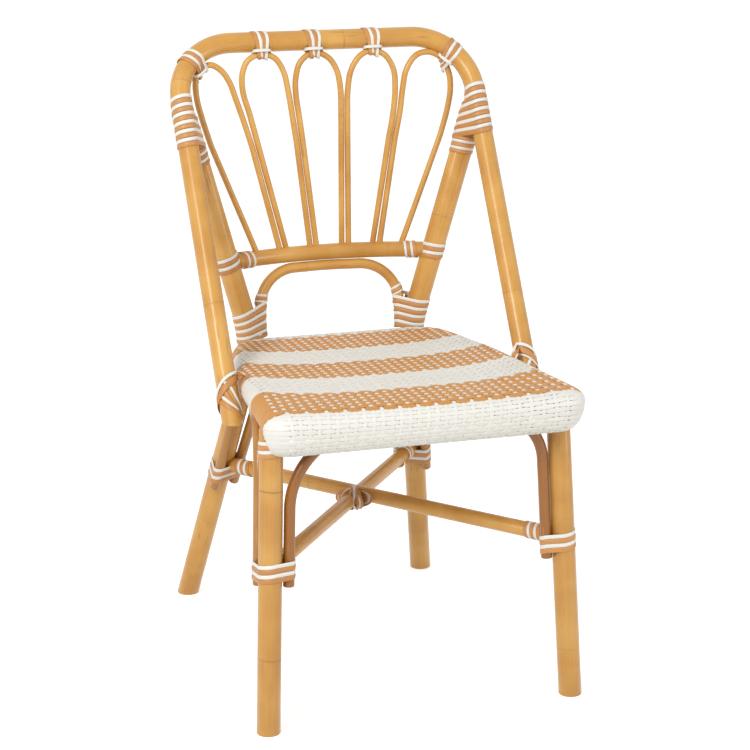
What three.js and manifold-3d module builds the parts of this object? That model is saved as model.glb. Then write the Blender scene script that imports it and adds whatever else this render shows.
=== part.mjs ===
// Rattan bistro chair: bent pole frame, five looped rods in the back, a woven seat, and wound strip lashings.
// Millimetres, +Z up, the chair faces -Y, and it stands on z = 0.
import * as THREE from "three";
import { mergeVertices } from "three/addons/utils/BufferGeometryUtils.js";
import Module from "manifold-3d";

const wasm = await Module();
wasm.setup();

// Driving dimensions: heights above the floor, and rises above the seat rails
const seatRailZ = 436.2;
const backRise = 449.4;
const backRailRise = 130.8;
const stretcherRearZ = 236;
const stretcherFrontZ = 230;

// Heights that follow them
const hoopTopZ = seatRailZ + backRise;
const backRailZ = seatRailZ + backRailRise;
const hoopFootDrop = 40.4;
const hoopFootZ = seatRailZ - hoopFootDrop;
const crossRailDrop = 4.2;
const crossRailZ = seatRailZ - crossRailDrop;
const postTopDrop = 102.6;
const postTopZ = hoopTopZ - postTopDrop;
const frontTieDrop = 3.2;
const tieZ = stretcherFrontZ - frontTieDrop;
const rearTieDrop = 4;
const rearTieZ = stretcherRearZ - rearTieDrop;
const archFootDrop = 25.8;
const archFootZ = tieZ - archFootDrop;
const frontArchFootDrop = 23.8;
const frontArchFootZ = tieZ - frontArchFootDrop;

// Driving dimensions: half widths from the middle of the chair
const hoopShoulderX = 227.2;
const frontFootX = 222.5;
const rearFootX = 197.6;
const seatFrontX = 209;
const seatWaistX = 182;
const seatRearX = 148;

// Driving dimensions: depths, with 0 half way between the seat's nose and the rear heels
const hoopFootY = -110.6;
const hoopTopY = 192.8;
const frontFootY = -276;
const rearFootY = 299.8;
const seatFrontY = -290.6;
const seatWaistY = -40;
const seatRearY = 112.4;

// Half widths and depths that follow them
const hoopFootOut = 41.5;
const hoopFootX = seatWaistX + hoopFootOut;
const postTopInset = 4.6;
const postTopX = hoopShoulderX - postTopInset;
const postTopBehind = 9.65;
const postTopShare = (postTopZ - hoopFootZ) / (hoopTopZ - hoopFootZ);
const postTopY = hoopFootY + (hoopTopY - hoopFootY) * postTopShare + postTopBehind;
const rearBendInset = 24.5;
const rearBendX = seatRearX - rearBendInset;
const rearBendBehind = 37.1;
const rearBendY = seatRearY + rearBendBehind;
const frontLegBack = 43.1;
const frontLegTopY = seatFrontY + frontLegBack;
const frontLegOut = 0.44;
const frontLegShare = frontLegBack / (seatWaistY - seatFrontY);
const frontLegTopX = seatFrontX + (seatWaistX - seatFrontX) * frontLegShare + frontLegOut;
const crossRailForward = 3;
const crossRailY = frontLegTopY - crossRailForward;
const rearArchBehind = 26.6;
const rearArchTopY = seatRearY + rearArchBehind;

// Driving dimensions: pole and rod radii
const hoopRadius = 15;
const frontLegRadius = 16.5;
const backPostRadius = 16.75;
const seatRailRadius = 16.5;
const crossRailRadius = 12.5;
const backRailRadius = 12;
const stretcherRadius = 11;
const archRadius = 8;
const petalRadius = 4.25;

// Fits shared by every piece
const clearance = 0.3;
const overrun = 30;
const stripThickness = 1.3;
const turnGap = 0.6;
const bendRoom = 0.9;
const bendStep = 16;
const stepsPerTurn = 14;
const straightShare = 1e-4;
const backArchZ = backRailZ - backRailRadius - archRadius - clearance;

const poleSides = 14;
const rodSides = 10;
const petalSides = 8;

const caneColour = 0xd9a04e;
const stripColour = 0xb9763f;
const seatColour = 0xece9e0;
const steelColour = 0x8d8f92;
const cane = { color: caneColour, roughness: 0.42, metalness: 0 };
const strip = { color: stripColour, roughness: 0.5, metalness: 0 };
const weave = { color: seatColour, roughness: 0.5, metalness: 0 };
const steel = { color: steelColour, roughness: 0.35, metalness: 1 };

const chair = new THREE.Group();
const woundGaps = [];

function at(x, y, z) {
  return new THREE.Vector3(x, y, z);
}

function between(a, b, share) {
  return a.clone().lerp(b, share);
}

function atHeight(a, b, z) {
  return between(a, b, (z - a.z) / (b.z - a.z));
}

function sided(points, side) {
  return points.map((p) => at(p.x * side, p.y, p.z));
}

// A centre line held as stations, so that straights need only their ends and bends get short steps.
class CentreLine extends THREE.Curve {
  constructor(stations) {
    super();
    this.stations = stations;
  }
  getUtoTmapping(u) {
    return u;
  }
  getPoint(t) {
    const last = this.stations.length - 1;
    const place = Math.min(Math.max(t, 0), 1) * last;
    const i = Math.min(Math.floor(place), last - 1);
    return between(this.stations[i], this.stations[i + 1], place - i);
  }
  getTangent(t) {
    const last = this.stations.length - 1;
    const i = Math.round(Math.min(Math.max(t, 0), 1) * last);
    const before = this.stations[Math.max(i - 1, 0)];
    const after = this.stations[Math.min(i + 1, last)];
    const here = this.stations[i];
    const into = i > 0 ? here.clone().sub(before).normalize() : at(0, 0, 0);
    const out = i < last ? after.clone().sub(here).normalize() : at(0, 0, 0);
    return into.add(out).normalize();
  }
}

// Stations along straight runs whose corners are rounded to the given radii.
function route(corners, radii) {
  const stations = [corners[0]];
  for (let i = 1; i < corners.length - 1; i += 1) {
    const back = corners[i - 1].clone().sub(corners[i]).normalize();
    const ahead = corners[i + 1].clone().sub(corners[i]).normalize();
    const turn = Math.PI - back.angleTo(ahead);
    const reach = radii[i - 1] * Math.tan(turn / 2);
    const inward = back.clone().add(ahead).normalize();
    const centre = corners[i].clone().addScaledVector(inward, radii[i - 1] / Math.cos(turn / 2));
    const start = corners[i].clone().addScaledVector(back, reach).sub(centre);
    const axis = back.clone().cross(ahead).negate().normalize();
    const steps = Math.max(2, Math.ceil(THREE.MathUtils.radToDeg(turn) / bendStep));
    for (let k = 0; k <= steps; k += 1) {
      stations.push(start.clone().applyAxisAngle(axis, (turn * k) / steps).add(centre));
    }
  }
  stations.push(corners[corners.length - 1]);
  return stations;
}

// A round pole along stations; the corners of its section lie on the true circle.
function pole(stations, radius, sides) {
  const section = new THREE.Shape();
  const sector = (2 * Math.PI) / sides;
  for (let i = 0; i < sides; i += 1) {
    const x = radius * Math.cos(i * sector);
    const y = radius * Math.sin(i * sector);
    if (i === 0) section.moveTo(x, y);
    else section.lineTo(x, y);
  }
  const extrudePath = new CentreLine(stations);
  return new THREE.ExtrudeGeometry(section, { steps: stations.length - 1, extrudePath });
}

// A drilled or coped space for a pole: its flats clear the true circle.
function bore(stations, radius, sides) {
  return pole(stations, (radius + clearance) / Math.cos(Math.PI / sides), sides);
}

function solid(geometry) {
  const plain = geometry.clone();
  plain.deleteAttribute("normal");
  plain.deleteAttribute("uv");
  const merged = mergeVertices(plain);
  const vertProperties = new Float32Array(merged.attributes.position.array);
  const triVerts = new Uint32Array(merged.index.array);
  return new wasm.Manifold(new wasm.Mesh({ numProp: 3, vertProperties, triVerts }));
}

function geometryOf(body) {
  const mesh = body.getMesh();
  const geometry = new THREE.BufferGeometry();
  geometry.setAttribute("position", new THREE.BufferAttribute(mesh.vertProperties, 3));
  geometry.setIndex(new THREE.BufferAttribute(mesh.triVerts, 1));
  return geometry;
}

function cut(geometry, ...tools) {
  let body = solid(geometry);
  tools.forEach((tool) => {
    body = body.subtract(solid(tool));
  });
  return geometryOf(body);
}

function join(geometry, ...others) {
  let body = solid(geometry);
  others.forEach((other) => {
    body = body.add(solid(other));
  });
  return geometryOf(body);
}

function common(geometry, other) {
  return geometryOf(solid(geometry).intersect(solid(other)));
}

function place(name, geometry, finish) {
  const mesh = new THREE.Mesh(geometry, new THREE.MeshStandardMaterial(finish));
  mesh.name = name;
  chair.add(mesh);
}

// Where a centre line crosses a plane: the crossing nearest to the plane's origin, with its direction.
function crossing(stations, origin, facing) {
  let found = null;
  for (let i = 0; i < stations.length - 1; i += 1) {
    const a = stations[i].clone().sub(origin).dot(facing);
    const b = stations[i + 1].clone().sub(origin).dot(facing);
    if (a * b > 0 || a === b) continue;
    const centre = between(stations[i], stations[i + 1], a / (a - b));
    const distance = centre.distanceTo(origin);
    if (found === null || distance < found.distance) {
      const along = stations[i + 1].clone().sub(stations[i]).normalize();
      found = { centre, along, distance };
    }
  }
  return found;
}

// How far a bundle of poles reaches in one direction within a plane, with room for the strip outside it.
function reachOf(bundle, frame, outward, halfWidth, standOff) {
  const reaches = bundle.map(({ stations, radius }) => {
    const hit = crossing(stations, frame.origin, frame.facing);
    if (hit === null) return -Infinity;
    const lean = Math.min(Math.abs(hit.along.dot(frame.facing)), 1);
    const slope = Math.sqrt(1 - lean * lean) / lean;
    const long = hit.along.clone().addScaledVector(frame.facing, -hit.along.dot(frame.facing));
    const turned = long.length() > straightShare ? Math.abs(outward.dot(long.normalize())) : 0;
    const share = Math.min(turned, 1);
    const semiLong = radius / lean + halfWidth * slope + standOff;
    const semiWide = radius + standOff;
    const support = Math.hypot(share * semiLong, Math.sqrt(1 - share * share) * semiWide);
    return hit.centre.clone().sub(frame.origin).dot(outward) + support;
  });
  return Math.max(...reaches);
}

function directionIn(frame, angle) {
  const outward = frame.first.clone().multiplyScalar(Math.cos(angle));
  return outward.addScaledVector(frame.second, Math.sin(angle));
}

// A corner of the polygon drawn tight round the bundle: the one that faces the given angle.
function wrapPoint(bundle, frame, angle, halfWidth, standOff) {
  const half = Math.PI / stepsPerTurn;
  const [before, after] = [angle - half, angle + half].map((side) =>
    reachOf(bundle, frame, directionIn(frame, side), halfWidth, standOff),
  );
  const outward = directionIn(frame, angle);
  const around = frame.facing.clone().cross(outward);
  return frame.origin
    .clone()
    .addScaledVector(outward, (after + before) / (2 * Math.cos(half)))
    .addScaledVector(around, (after - before) / (2 * Math.sin(half)));
}

// The planes and directions of a winding from start to end.
function windingFrame({ start, end, startFacing, endFacing }, share) {
  const run = end.clone().sub(start).normalize();
  const facing = (startFacing ?? run).clone().lerp(endFacing ?? run, share).normalize();
  const origin = between(start, end, share);
  const side = Math.abs(facing.z) > Math.abs(facing.x) ? at(1, 0, 0) : at(0, 0, 1);
  const first = side.addScaledVector(facing, -side.dot(facing)).normalize();
  return { origin, facing, first, second: facing.clone().cross(first) };
}

function closedSurface(rings, ringSize) {
  const points = [];
  const faces = [];
  rings.forEach((ring) => ring.forEach((p) => points.push(p.x, p.y, p.z)));
  const last = (rings.length - 1) * ringSize;
  for (let i = 0; i < rings.length - 1; i += 1) {
    for (let k = 0; k < ringSize; k += 1) {
      const a = i * ringSize + k;
      const b = i * ringSize + ((k + 1) % ringSize);
      faces.push(a, b, b + ringSize, a, b + ringSize, a + ringSize);
    }
  }
  const caps = [rings[0], rings[rings.length - 1]];
  caps.forEach((ring) => {
    const middle = ring.reduce((sum, p) => sum.add(p), at(0, 0, 0)).divideScalar(ringSize);
    points.push(middle.x, middle.y, middle.z);
  });
  for (let k = 0; k < ringSize; k += 1) {
    const next = (k + 1) % ringSize;
    faces.push(last + ringSize, next, k);
    faces.push(last + ringSize + 1, last + k, last + next);
  }
  const geometry = new THREE.BufferGeometry();
  geometry.setAttribute("position", new THREE.Float32BufferAttribute(points, 3));
  geometry.setIndex(faces);
  return geometry;
}

// One flat strip wound round a bundle of poles: an unbroken helix whose turns keep turnGap to each other.
function lashing(name, winding) {
  const { bundle, start, end, turns } = winding;
  const pitch = start.distanceTo(end) / turns;
  const halfWidth = (pitch - turnGap) / 2;
  const halfThickness = stripThickness / 2;
  const rings = [];
  const steps = turns * stepsPerTurn;
  for (let i = 0; i <= steps; i += 1) {
    const frame = windingFrame(winding, i / steps);
    const angle = (2 * Math.PI * i) / stepsPerTurn;
    const outward = directionIn(frame, angle);
    const middle = wrapPoint(bundle, frame, angle, pitch / 2, clearance + halfThickness);
    const up = frame.facing.clone().multiplyScalar(halfWidth);
    const out = outward.clone().multiplyScalar(halfThickness);
    rings.push([
      middle.clone().add(up).sub(out),
      middle.clone().add(up).add(out),
      middle.clone().sub(up).add(out),
      middle.clone().sub(up).sub(out),
    ]);
  }
  let least = Infinity;
  for (let i = 0; i + stepsPerTurn < rings.length; i += 1) {
    rings[i].slice(0, 2).forEach((edge) => {
      rings[i + stepsPerTurn].slice(2).forEach((next) => {
        least = Math.min(least, edge.distanceTo(next));
      });
    });
  }
  woundGaps.push({ name, least });
  place(name, closedSurface(rings, rings[0].length), strip);
}

// The solid that a winding fills, with clearance, for cutting what ends against it.
function sleeve(winding) {
  const { bundle, start, end, turns } = winding;
  const halfWidth = start.distanceTo(end) / turns / 2;
  const margin = halfWidth / start.distanceTo(end) + clearance / start.distanceTo(end);
  const standOff = clearance + stripThickness + clearance;
  const rings = [-margin, 0.5, 1 + margin].map((share) => {
    const frame = windingFrame(winding, share);
    const ring = [];
    for (let k = 0; k < stepsPerTurn; k += 1) {
      const angle = (2 * Math.PI * k) / stepsPerTurn;
      ring.push(wrapPoint(bundle, frame, angle, halfWidth, standOff));
    }
    return ring;
  });
  return closedSurface(rings, stepsPerTurn);
}

// A wood screw: flat head at its start, plain shank and short point.
const screwHeadRadius = 4;
const screwHeadHeight = 2.4;
const screwShankRadius = 2;
const screwPointLength = 4;
function screw(from, to, extra) {
  const length = from.distanceTo(to) + extra;
  const profile = [
    new THREE.Vector2(0, 0),
    new THREE.Vector2(screwHeadRadius + extra, 0),
    new THREE.Vector2(screwHeadRadius + extra, screwHeadHeight + extra),
    new THREE.Vector2(screwShankRadius + extra, screwHeadHeight + screwHeadRadius - screwShankRadius + extra),
    new THREE.Vector2(screwShankRadius + extra, length - screwPointLength),
    new THREE.Vector2(0, length),
  ];
  const geometry = new THREE.LatheGeometry(profile, rodSides);
  const along = to.clone().sub(from).normalize();
  geometry.applyQuaternion(new THREE.Quaternion().setFromUnitVectors(at(0, 1, 0), along));
  return geometry.translate(from.x, from.y, from.z);
}

// The clearance hole of a screw, open behind the head so that the screw can be driven in.
function screwHole(from, to) {
  const away = from.clone().sub(to).normalize();
  const hole = screw(from, to, clearance);
  const mouth = from.clone().addScaledVector(away, overrun);
  const inside = from.clone().addScaledVector(away, -screwHeadHeight / 2);
  return join(hole, pole([inside, mouth], screwHeadRadius + 2 * clearance, rodSides));
}

// Hoop: one pole up from the seat's left side, over the top and down to the right side, bent in one leaning plane.
const hoopCornerRadius = 87;
const hoopLean = at(0, hoopTopY - hoopFootY, hoopTopZ - hoopFootZ).normalize();
function hoopPoint(x, height) {
  return at(x, hoopFootY, hoopFootZ).addScaledVector(hoopLean, height);
}
const hoopHeight = Math.hypot(hoopTopY - hoopFootY, hoopTopZ - hoopFootZ);
const hoopStations = route(
  [
    hoopPoint(-hoopFootX, 0),
    hoopPoint(-hoopShoulderX, hoopHeight),
    hoopPoint(hoopShoulderX, hoopHeight),
    hoopPoint(hoopFootX, 0),
  ],
  [hoopCornerRadius, hoopCornerRadius],
);
const hoop = { stations: hoopStations, radius: hoopRadius };

// Back posts: each rear leg and back post is one pole, bent where it passes the seat's rear corner.
const postBendRadius = 190;
function postLine(side) {
  const corners = [
    at(rearFootX, rearFootY, 0),
    at(rearBendX, rearBendY, seatRailZ),
    at(postTopX, postTopY, postTopZ),
  ];
  return route(sided(corners, side), [postBendRadius]);
}

// Front legs: straight poles that lean back and inwards, saddled under the side rails.
const legSaddleZ = seatRailZ - 0.75 * seatRailRadius;
function frontLegLine(side) {
  const foot = at(frontFootX, frontFootY, 0);
  const top = at(frontLegTopX, frontLegTopY, seatRailZ);
  return sided([foot, atHeight(foot, top, legSaddleZ)], side);
}

// A leg line carried on below the floor, so that the foot can be cut flat at z = 0.
function throughFloor(stations) {
  const start = stations[0].clone().sub(stations[1]).normalize();
  return [stations[0].clone().addScaledVector(start, overrun), ...stations.slice(1)];
}

// A post line carried on past its mitred top, for the strip that winds over the mitre.
function throughTop(stations) {
  const [before, end] = stations.slice(-2);
  const onward = end.clone().sub(before).normalize();
  return [...stations, end.clone().addScaledVector(onward, backPostRadius)];
}

function floorBlock() {
  const size = 2 * (rearFootY - frontFootY);
  return new THREE.BoxGeometry(size, size, 2 * overrun).translate(0, 0, -overrun);
}

// Seat frame: four rails in one ring, butted in the front and rear runs.
const frontRailInset = 59;
const frontRailEndX = seatFrontX - frontRailInset;
const rearRailInset = 64;
const rearRailEndX = seatRearX - rearRailInset;
const seatFrontCornerRadius = 18;
const seatWaistRadius = 260;
const seatRearCornerRadius = 44;
function sideRailLine(side) {
  const corners = [
    at(frontRailEndX, seatFrontY, seatRailZ),
    at(seatFrontX, seatFrontY, seatRailZ),
    at(seatWaistX, seatWaistY, seatRailZ),
    at(seatRearX, seatRearY, seatRailZ),
    at(rearRailEndX, seatRearY, seatRailZ),
  ];
  return route(sided(corners, side), [seatFrontCornerRadius, seatWaistRadius, seatRearCornerRadius]);
}
const frontRailLine = [
  at(-frontRailEndX + clearance, seatFrontY, seatRailZ),
  at(frontRailEndX - clearance, seatFrontY, seatRailZ),
];
const rearRailLine = [
  at(-rearRailEndX + clearance, seatRearY, seatRailZ),
  at(rearRailEndX - clearance, seatRearY, seatRailZ),
];
const crossRailInset = 8.8;
const crossRailEndX = frontLegTopX - crossRailInset;
const crossRailLine = [at(-crossRailEndX, crossRailY, crossRailZ), at(crossRailEndX, crossRailY, crossRailZ)];

// Back rail: a pole bowed backwards between the posts, with the feet of the five loops let into its top.
const backRailBow = 35;
const postFoot = at(rearBendX, rearBendY, seatRailZ);
const postHead = at(postTopX, postTopY, postTopZ);
const backRailEnd = atHeight(postFoot, postHead, backRailZ);
const backRailSteps = 10;
function backRailPoint(x) {
  const share = x / backRailEnd.x;
  return at(x, backRailEnd.y + backRailBow * (1 - share * share), backRailZ);
}
const backRailLine = [];
for (let i = 0; i <= backRailSteps; i += 1) {
  backRailLine.push(backRailPoint(backRailEnd.x * ((2 * i) / backRailSteps - 1)));
}

// Loops of the back: five thin rods, each bent over into a tall loop. Hand bent, so no two are alike.
// Each head runs over its crown from left to right, as shares of the hoop's half width and of the height
// from the back rail to the hoop. The feet are shares of the back rail's half length.
const loopPlaneInset = 10.3;
const loopPlaneY = hoopTopY - loopPlaneInset;
const loopFootDepth = 7;
const loopFootShares = [
  [-0.687, -0.45],
  [-0.382, -0.146],
  [-0.082, 0.162],
  [0.228, 0.451],
  [0.517, 0.712],
];
const loopHeadShares = [
  [
    [-0.766, 0.53], [-0.819, 0.65], [-0.856, 0.756], [-0.858, 0.844], [-0.823, 0.888], [-0.761, 0.906],
    [-0.693, 0.88], [-0.638, 0.825], [-0.599, 0.75], [-0.546, 0.64], [-0.493, 0.521],
  ],
  [
    [-0.447, 0.515], [-0.504, 0.669], [-0.548, 0.778], [-0.55, 0.857], [-0.511, 0.92], [-0.418, 0.947],
    [-0.33, 0.926], [-0.273, 0.863], [-0.242, 0.769], [-0.213, 0.643], [-0.187, 0.521],
  ],
  [
    [-0.143, 0.515], [-0.169, 0.65], [-0.189, 0.747], [-0.191, 0.825], [-0.158, 0.904], [-0.066, 0.947],
    [0.031, 0.921], [0.088, 0.863], [0.114, 0.778], [0.119, 0.659], [0.119, 0.521],
  ],
  [
    [0.163, 0.521], [0.163, 0.65], [0.165, 0.756], [0.189, 0.857], [0.251, 0.923], [0.339, 0.947],
    [0.427, 0.92], [0.484, 0.851], [0.495, 0.769], [0.482, 0.65], [0.449, 0.521],
  ],
  [
    [0.493, 0.521], [0.53, 0.659], [0.548, 0.763], [0.574, 0.851], [0.643, 0.917], [0.735, 0.929],
    [0.819, 0.898], [0.871, 0.832], [0.885, 0.756], [0.863, 0.653], [0.814, 0.53],
  ],
];
const loopSteps = 22;
function loopLine(headShares, footShares) {
  const rise = hoopTopZ - backRailZ;
  const heads = headShares.map(([x, z]) => at(x * hoopShoulderX, loopPlaneY, backRailZ + z * rise));
  const curve = new THREE.CatmullRomCurve3(heads, false, "centripetal");
  const feet = footShares.map((share) => {
    const foot = backRailPoint(share * backRailEnd.x);
    foot.z += backRailRadius - loopFootDepth;
    return foot;
  });
  const stations = curve.getSpacedPoints(loopSteps);
  return [feet[0], ...stations, feet[1]];
}

// Back arch: a thin rod under the back rail, its ends laid along the insides of the posts.
const backArchCornerRadius = 60;
const postFootTieRise = 15.8;
const postFootTieZ = seatRailZ + postFootTieRise;
const backArchFootZ = postFootTieZ;
const legLean = Math.hypot(rearFootY - rearBendY, seatRailZ) / seatRailZ;
function besideLeg(legRadius) {
  return (legRadius + archRadius) * legLean + clearance;
}
function backArchLine() {
  const away = besideLeg(backPostRadius);
  const foot = atHeight(postFoot, postHead, backArchFootZ);
  const shoulder = atHeight(postFoot, postHead, backArchZ);
  const middleY = backRailPoint(0).y;
  const corners = [
    at(-foot.x + away, foot.y, backArchFootZ),
    at(-shoulder.x + away, (shoulder.y + middleY) / 2, backArchZ),
    at(0, middleY, backArchZ),
    at(shoulder.x - away, (shoulder.y + middleY) / 2, backArchZ),
    at(foot.x - away, foot.y, backArchFootZ),
  ];
  return route(corners, [backArchCornerRadius, backArchCornerRadius * 3, backArchCornerRadius]);
}

// Front arch: under the cross rail, its ends along the insides of the front legs.
const frontArchZ = crossRailZ - crossRailRadius - archRadius - clearance;
const frontArchCornerRadii = [106, 68];
const frontLegFoot = at(frontFootX, frontFootY, 0);
const frontLegTop = at(frontLegTopX, frontLegTopY, seatRailZ);
function frontArchLine() {
  const away = besideLeg(frontLegRadius);
  const foot = atHeight(frontLegFoot, frontLegTop, frontArchFootZ);
  const top = atHeight(frontLegFoot, frontLegTop, frontArchZ);
  const corners = [
    at(-foot.x + away, foot.y, frontArchFootZ),
    at(-top.x + away, crossRailY, frontArchZ),
    at(top.x - away, crossRailY, frontArchZ),
    at(foot.x - away, foot.y, frontArchFootZ),
  ];
  return route(corners, frontArchCornerRadii);
}

// Side arches: under the side rails, behind the front legs and in front of the rear legs.
const skinRoll = 19.8;
const sideArchZ = seatRailZ - skinRoll - archRadius - clearance;
const sideArchCornerRadius = 72;
const sideArchTurn = THREE.MathUtils.degToRad(68);
const rearLegFoot = at(rearFootX, rearFootY, 0);
function sideArchLine(side) {
  const front = besideLeg(frontLegRadius);
  const rear = besideLeg(backPostRadius);
  const frontOffset = at(Math.cos(sideArchTurn) * front, Math.sin(sideArchTurn) * front, 0);
  const rearOffset = at(Math.cos(sideArchTurn) * rear, -Math.sin(sideArchTurn) * rear, 0);
  const corners = [
    atHeight(frontLegFoot, frontLegTop, archFootZ).add(frontOffset),
    atHeight(frontLegFoot, frontLegTop, sideArchZ).add(frontOffset),
    atHeight(rearLegFoot, postFoot, sideArchZ).add(rearOffset),
    atHeight(rearLegFoot, postFoot, archFootZ).add(rearOffset),
  ];
  return route(sided(corners, side), [sideArchCornerRadius, sideArchCornerRadius]);
}

// Rear arch: behind the seat's rear rail, its ends along the insides of the rear legs.
const rearArchZ = sideArchZ;
const rearArchCornerRadius = 60;
function rearArchLine() {
  const away = besideLeg(backPostRadius);
  const foot = atHeight(rearLegFoot, postFoot, archFootZ);
  const top = atHeight(rearLegFoot, postFoot, rearArchZ);
  const corners = [
    at(-foot.x + away, foot.y, archFootZ),
    at(-top.x + away, rearArchTopY, rearArchZ),
    at(top.x - away, rearArchTopY, rearArchZ),
    at(foot.x - away, foot.y, archFootZ),
  ];
  return route(corners, [rearArchCornerRadius, rearArchCornerRadius]);
}

// Stretchers: two poles crossing between opposite legs, halved into each other where they meet.
function stretcherLine(side) {
  const rear = atHeight(rearLegFoot, postFoot, stretcherRearZ);
  const front = atHeight(frontLegFoot, frontLegTop, stretcherFrontZ);
  return [at(rear.x * side, rear.y, rear.z), at(-front.x * side, front.y, front.z)];
}
const stretcherShare = rearFootX / (rearFootX + frontFootX);

// A slab of everything above or below a height, for halving the stretchers.
function halfSpace(z, direction) {
  const size = 2 * (rearFootY - frontFootY);
  return new THREE.BoxGeometry(size, size, size).translate(0, 0, z + (direction * size) / 2);
}

// Where each winding lies
const postTieHalf = 11.5;
const tieHalf = 13;
const railTieInset = 31;
const railTieHalf = 7;
const railTieGap = 2.4;
const crossTieHalf = 7;
const postFootTieLength = 33;
const postFootTieTopZ = postFootTieZ + postFootTieLength;
const legTopTieDrop = 27.2;
const legTopTieTopZ = seatRailZ - legTopTieDrop;
const legTopTieLength = 24;
const legTopTieZ = legTopTieTopZ - legTopTieLength;
const hoopFootTieLow = 58;
const hoopFootTieLength = 29;
const hoopFootTieHigh = hoopFootTieLow + hoopFootTieLength;
const shoulderTieBelow = 23.5;
const shoulderTieLow = hoopHeight * postTopShare - shoulderTieBelow;
const shoulderTieLength = 68;
const shoulderTieHigh = shoulderTieLow + shoulderTieLength;
const shoulderTieInset = 4;
const postTopTieDrop = 57;
const postTopTieHighZ = postTopZ - postTopTieDrop;
const postTopTieLength = 20;
const postTopTieLowZ = postTopTieHighZ - postTopTieLength;
const loopTieHalf = 8;
const loopTieShares = [-0.889, -0.418, -0.066, 0.339, 0.889];

// The hoop's centre line over a place on its top or corners, and its direction there.
function hoopTop(x) {
  const hits = hoopStations.slice(1, -1).map((p, i) => ({ p, i: i + 1 }));
  const inOrder = hits.filter(({ p, i }) => p.x <= x && hoopStations[i + 1].x >= x);
  const high = inOrder.reduce((a, b) => (b.p.z > a.p.z ? b : a));
  const next = hoopStations[high.i + 1];
  const run = next.clone().sub(high.p).normalize();
  return { centre: between(high.p, next, (x - high.p.x) / (next.x - high.p.x)), run };
}

function legTie(side) {
  const low = atHeight(frontLegFoot, frontLegTop, tieZ - tieHalf);
  const high = atHeight(frontLegFoot, frontLegTop, tieZ + tieHalf);
  const [start, end] = sided([low, high], side);
  const bundle = [
    { stations: sided([frontLegFoot, frontLegTop], side), radius: frontLegRadius },
    { stations: frontArchLine(), radius: archRadius },
    { stations: sideArchLine(side), radius: archRadius },
  ];
  return { bundle, start, end, turns: 2 };
}

function rearLegTie(side) {
  const low = atHeight(rearLegFoot, postFoot, rearTieZ - tieHalf);
  const high = atHeight(rearLegFoot, postFoot, rearTieZ + tieHalf);
  const [start, end] = sided([low, high], side);
  const bundle = [
    { stations: throughFloor(postLine(side)), radius: backPostRadius },
    { stations: rearArchLine(), radius: archRadius },
    { stations: sideArchLine(side), radius: archRadius },
  ];
  return { bundle, start, end, turns: 2 };
}

function backRailPostTie(side) {
  const low = atHeight(postFoot, postHead, backRailZ - postTieHalf);
  const high = atHeight(postFoot, postHead, backRailZ + postTieHalf);
  const [start, end] = sided([low, high], side);
  const bundle = [{ stations: postLine(side), radius: backPostRadius }];
  return { bundle, start, end, turns: 2 };
}

function alongLine(line, fromEnd) {
  const run = line[0].clone().sub(line[1]).normalize();
  return line[0].clone().addScaledVector(run, -fromEnd);
}

function stretcherTie(line, legTieRadius) {
  const start = alongLine(line, legTieRadius - railTieHalf);
  const end = alongLine(line, legTieRadius + railTieHalf);
  return { bundle: [{ stations: line, radius: stretcherRadius }], start, end, turns: 2 };
}

const sides = [
  { name: "left", side: -1 },
  { name: "right", side: 1 },
];
const screws = [];
const sideRailBody = {};

// Back posts with their feet cut flat and their tops mitred against the hoop
const hoopCutter = pole(hoopStations, hoopRadius + clearance, poleSides);
const postScrewLength = 34;
const sideScrewZ = seatRailZ - 4;
sides.forEach(({ name, side }) => {
  const axis = crossing(postLine(side), at(rearBendX * side, rearBendY, sideScrewZ), at(0, 0, 1)).centre;
  const behind = at(axis.x, axis.y + backPostRadius - 4 * clearance, sideScrewZ);
  const screwEnd = at(axis.x, behind.y - backPostRadius - postScrewLength, sideScrewZ);
  const post = pole(throughFloor(postLine(side)), backPostRadius, poleSides);
  place(`back_post_${name}`, cut(post, floorBlock(), hoopCutter, screwHole(behind, screwEnd)), cane);
  screws.push({ name: `back_post_screw_${name}`, from: behind, to: screwEnd });
});

// Hoop feet are screwed sideways into the side rails
const hoopScrewLength = 34;
sides.forEach(({ name, side }) => {
  const axis = crossing(hoopStations, at(hoopFootX * side, hoopFootY, sideScrewZ), at(0, 0, 1)).centre;
  const from = at(axis.x + (hoopRadius - 4 * clearance) * side, axis.y, sideScrewZ);
  const to = at(from.x - (hoopRadius + hoopScrewLength) * side, axis.y, sideScrewZ);
  screws.push({ name: `hoop_screw_${name}`, from, to });
});
const hoopHoles = screws.slice(2).map(({ from, to }) => screwHole(from, to));
place("hoop", cut(pole(hoopStations, hoopRadius, poleSides), ...hoopHoles), cane);

// Front legs with saddled tops, each held by a screw down through the side rail
const legScrewLength = 46;
sides.forEach(({ name, side }) => {
  const axis = frontLegLine(side);
  const top = at(frontLegTopX * side, frontLegTopY, seatRailZ + seatRailRadius - 2 * clearance);
  const lean = axis[0].clone().sub(axis[1]).normalize();
  const screwEnd = top.clone().addScaledVector(lean, seatRailRadius + legScrewLength);
  const leg = pole(throughFloor(axis), frontLegRadius, poleSides);
  const saddle = pole(sideRailLine(side), seatRailRadius + clearance, poleSides);
  place(`front_leg_${name}`, cut(leg, floorBlock(), saddle, screwHole(top, screwEnd)), cane);
  screws.push({ name: `front_leg_screw_${name}`, from: top, to: screwEnd });
});
const screwHoles = screws.map(({ from, to }) => screwHole(from, to));
screws.forEach(({ name, from, to }) => place(name, screw(from, to, 0), steel));

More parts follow.
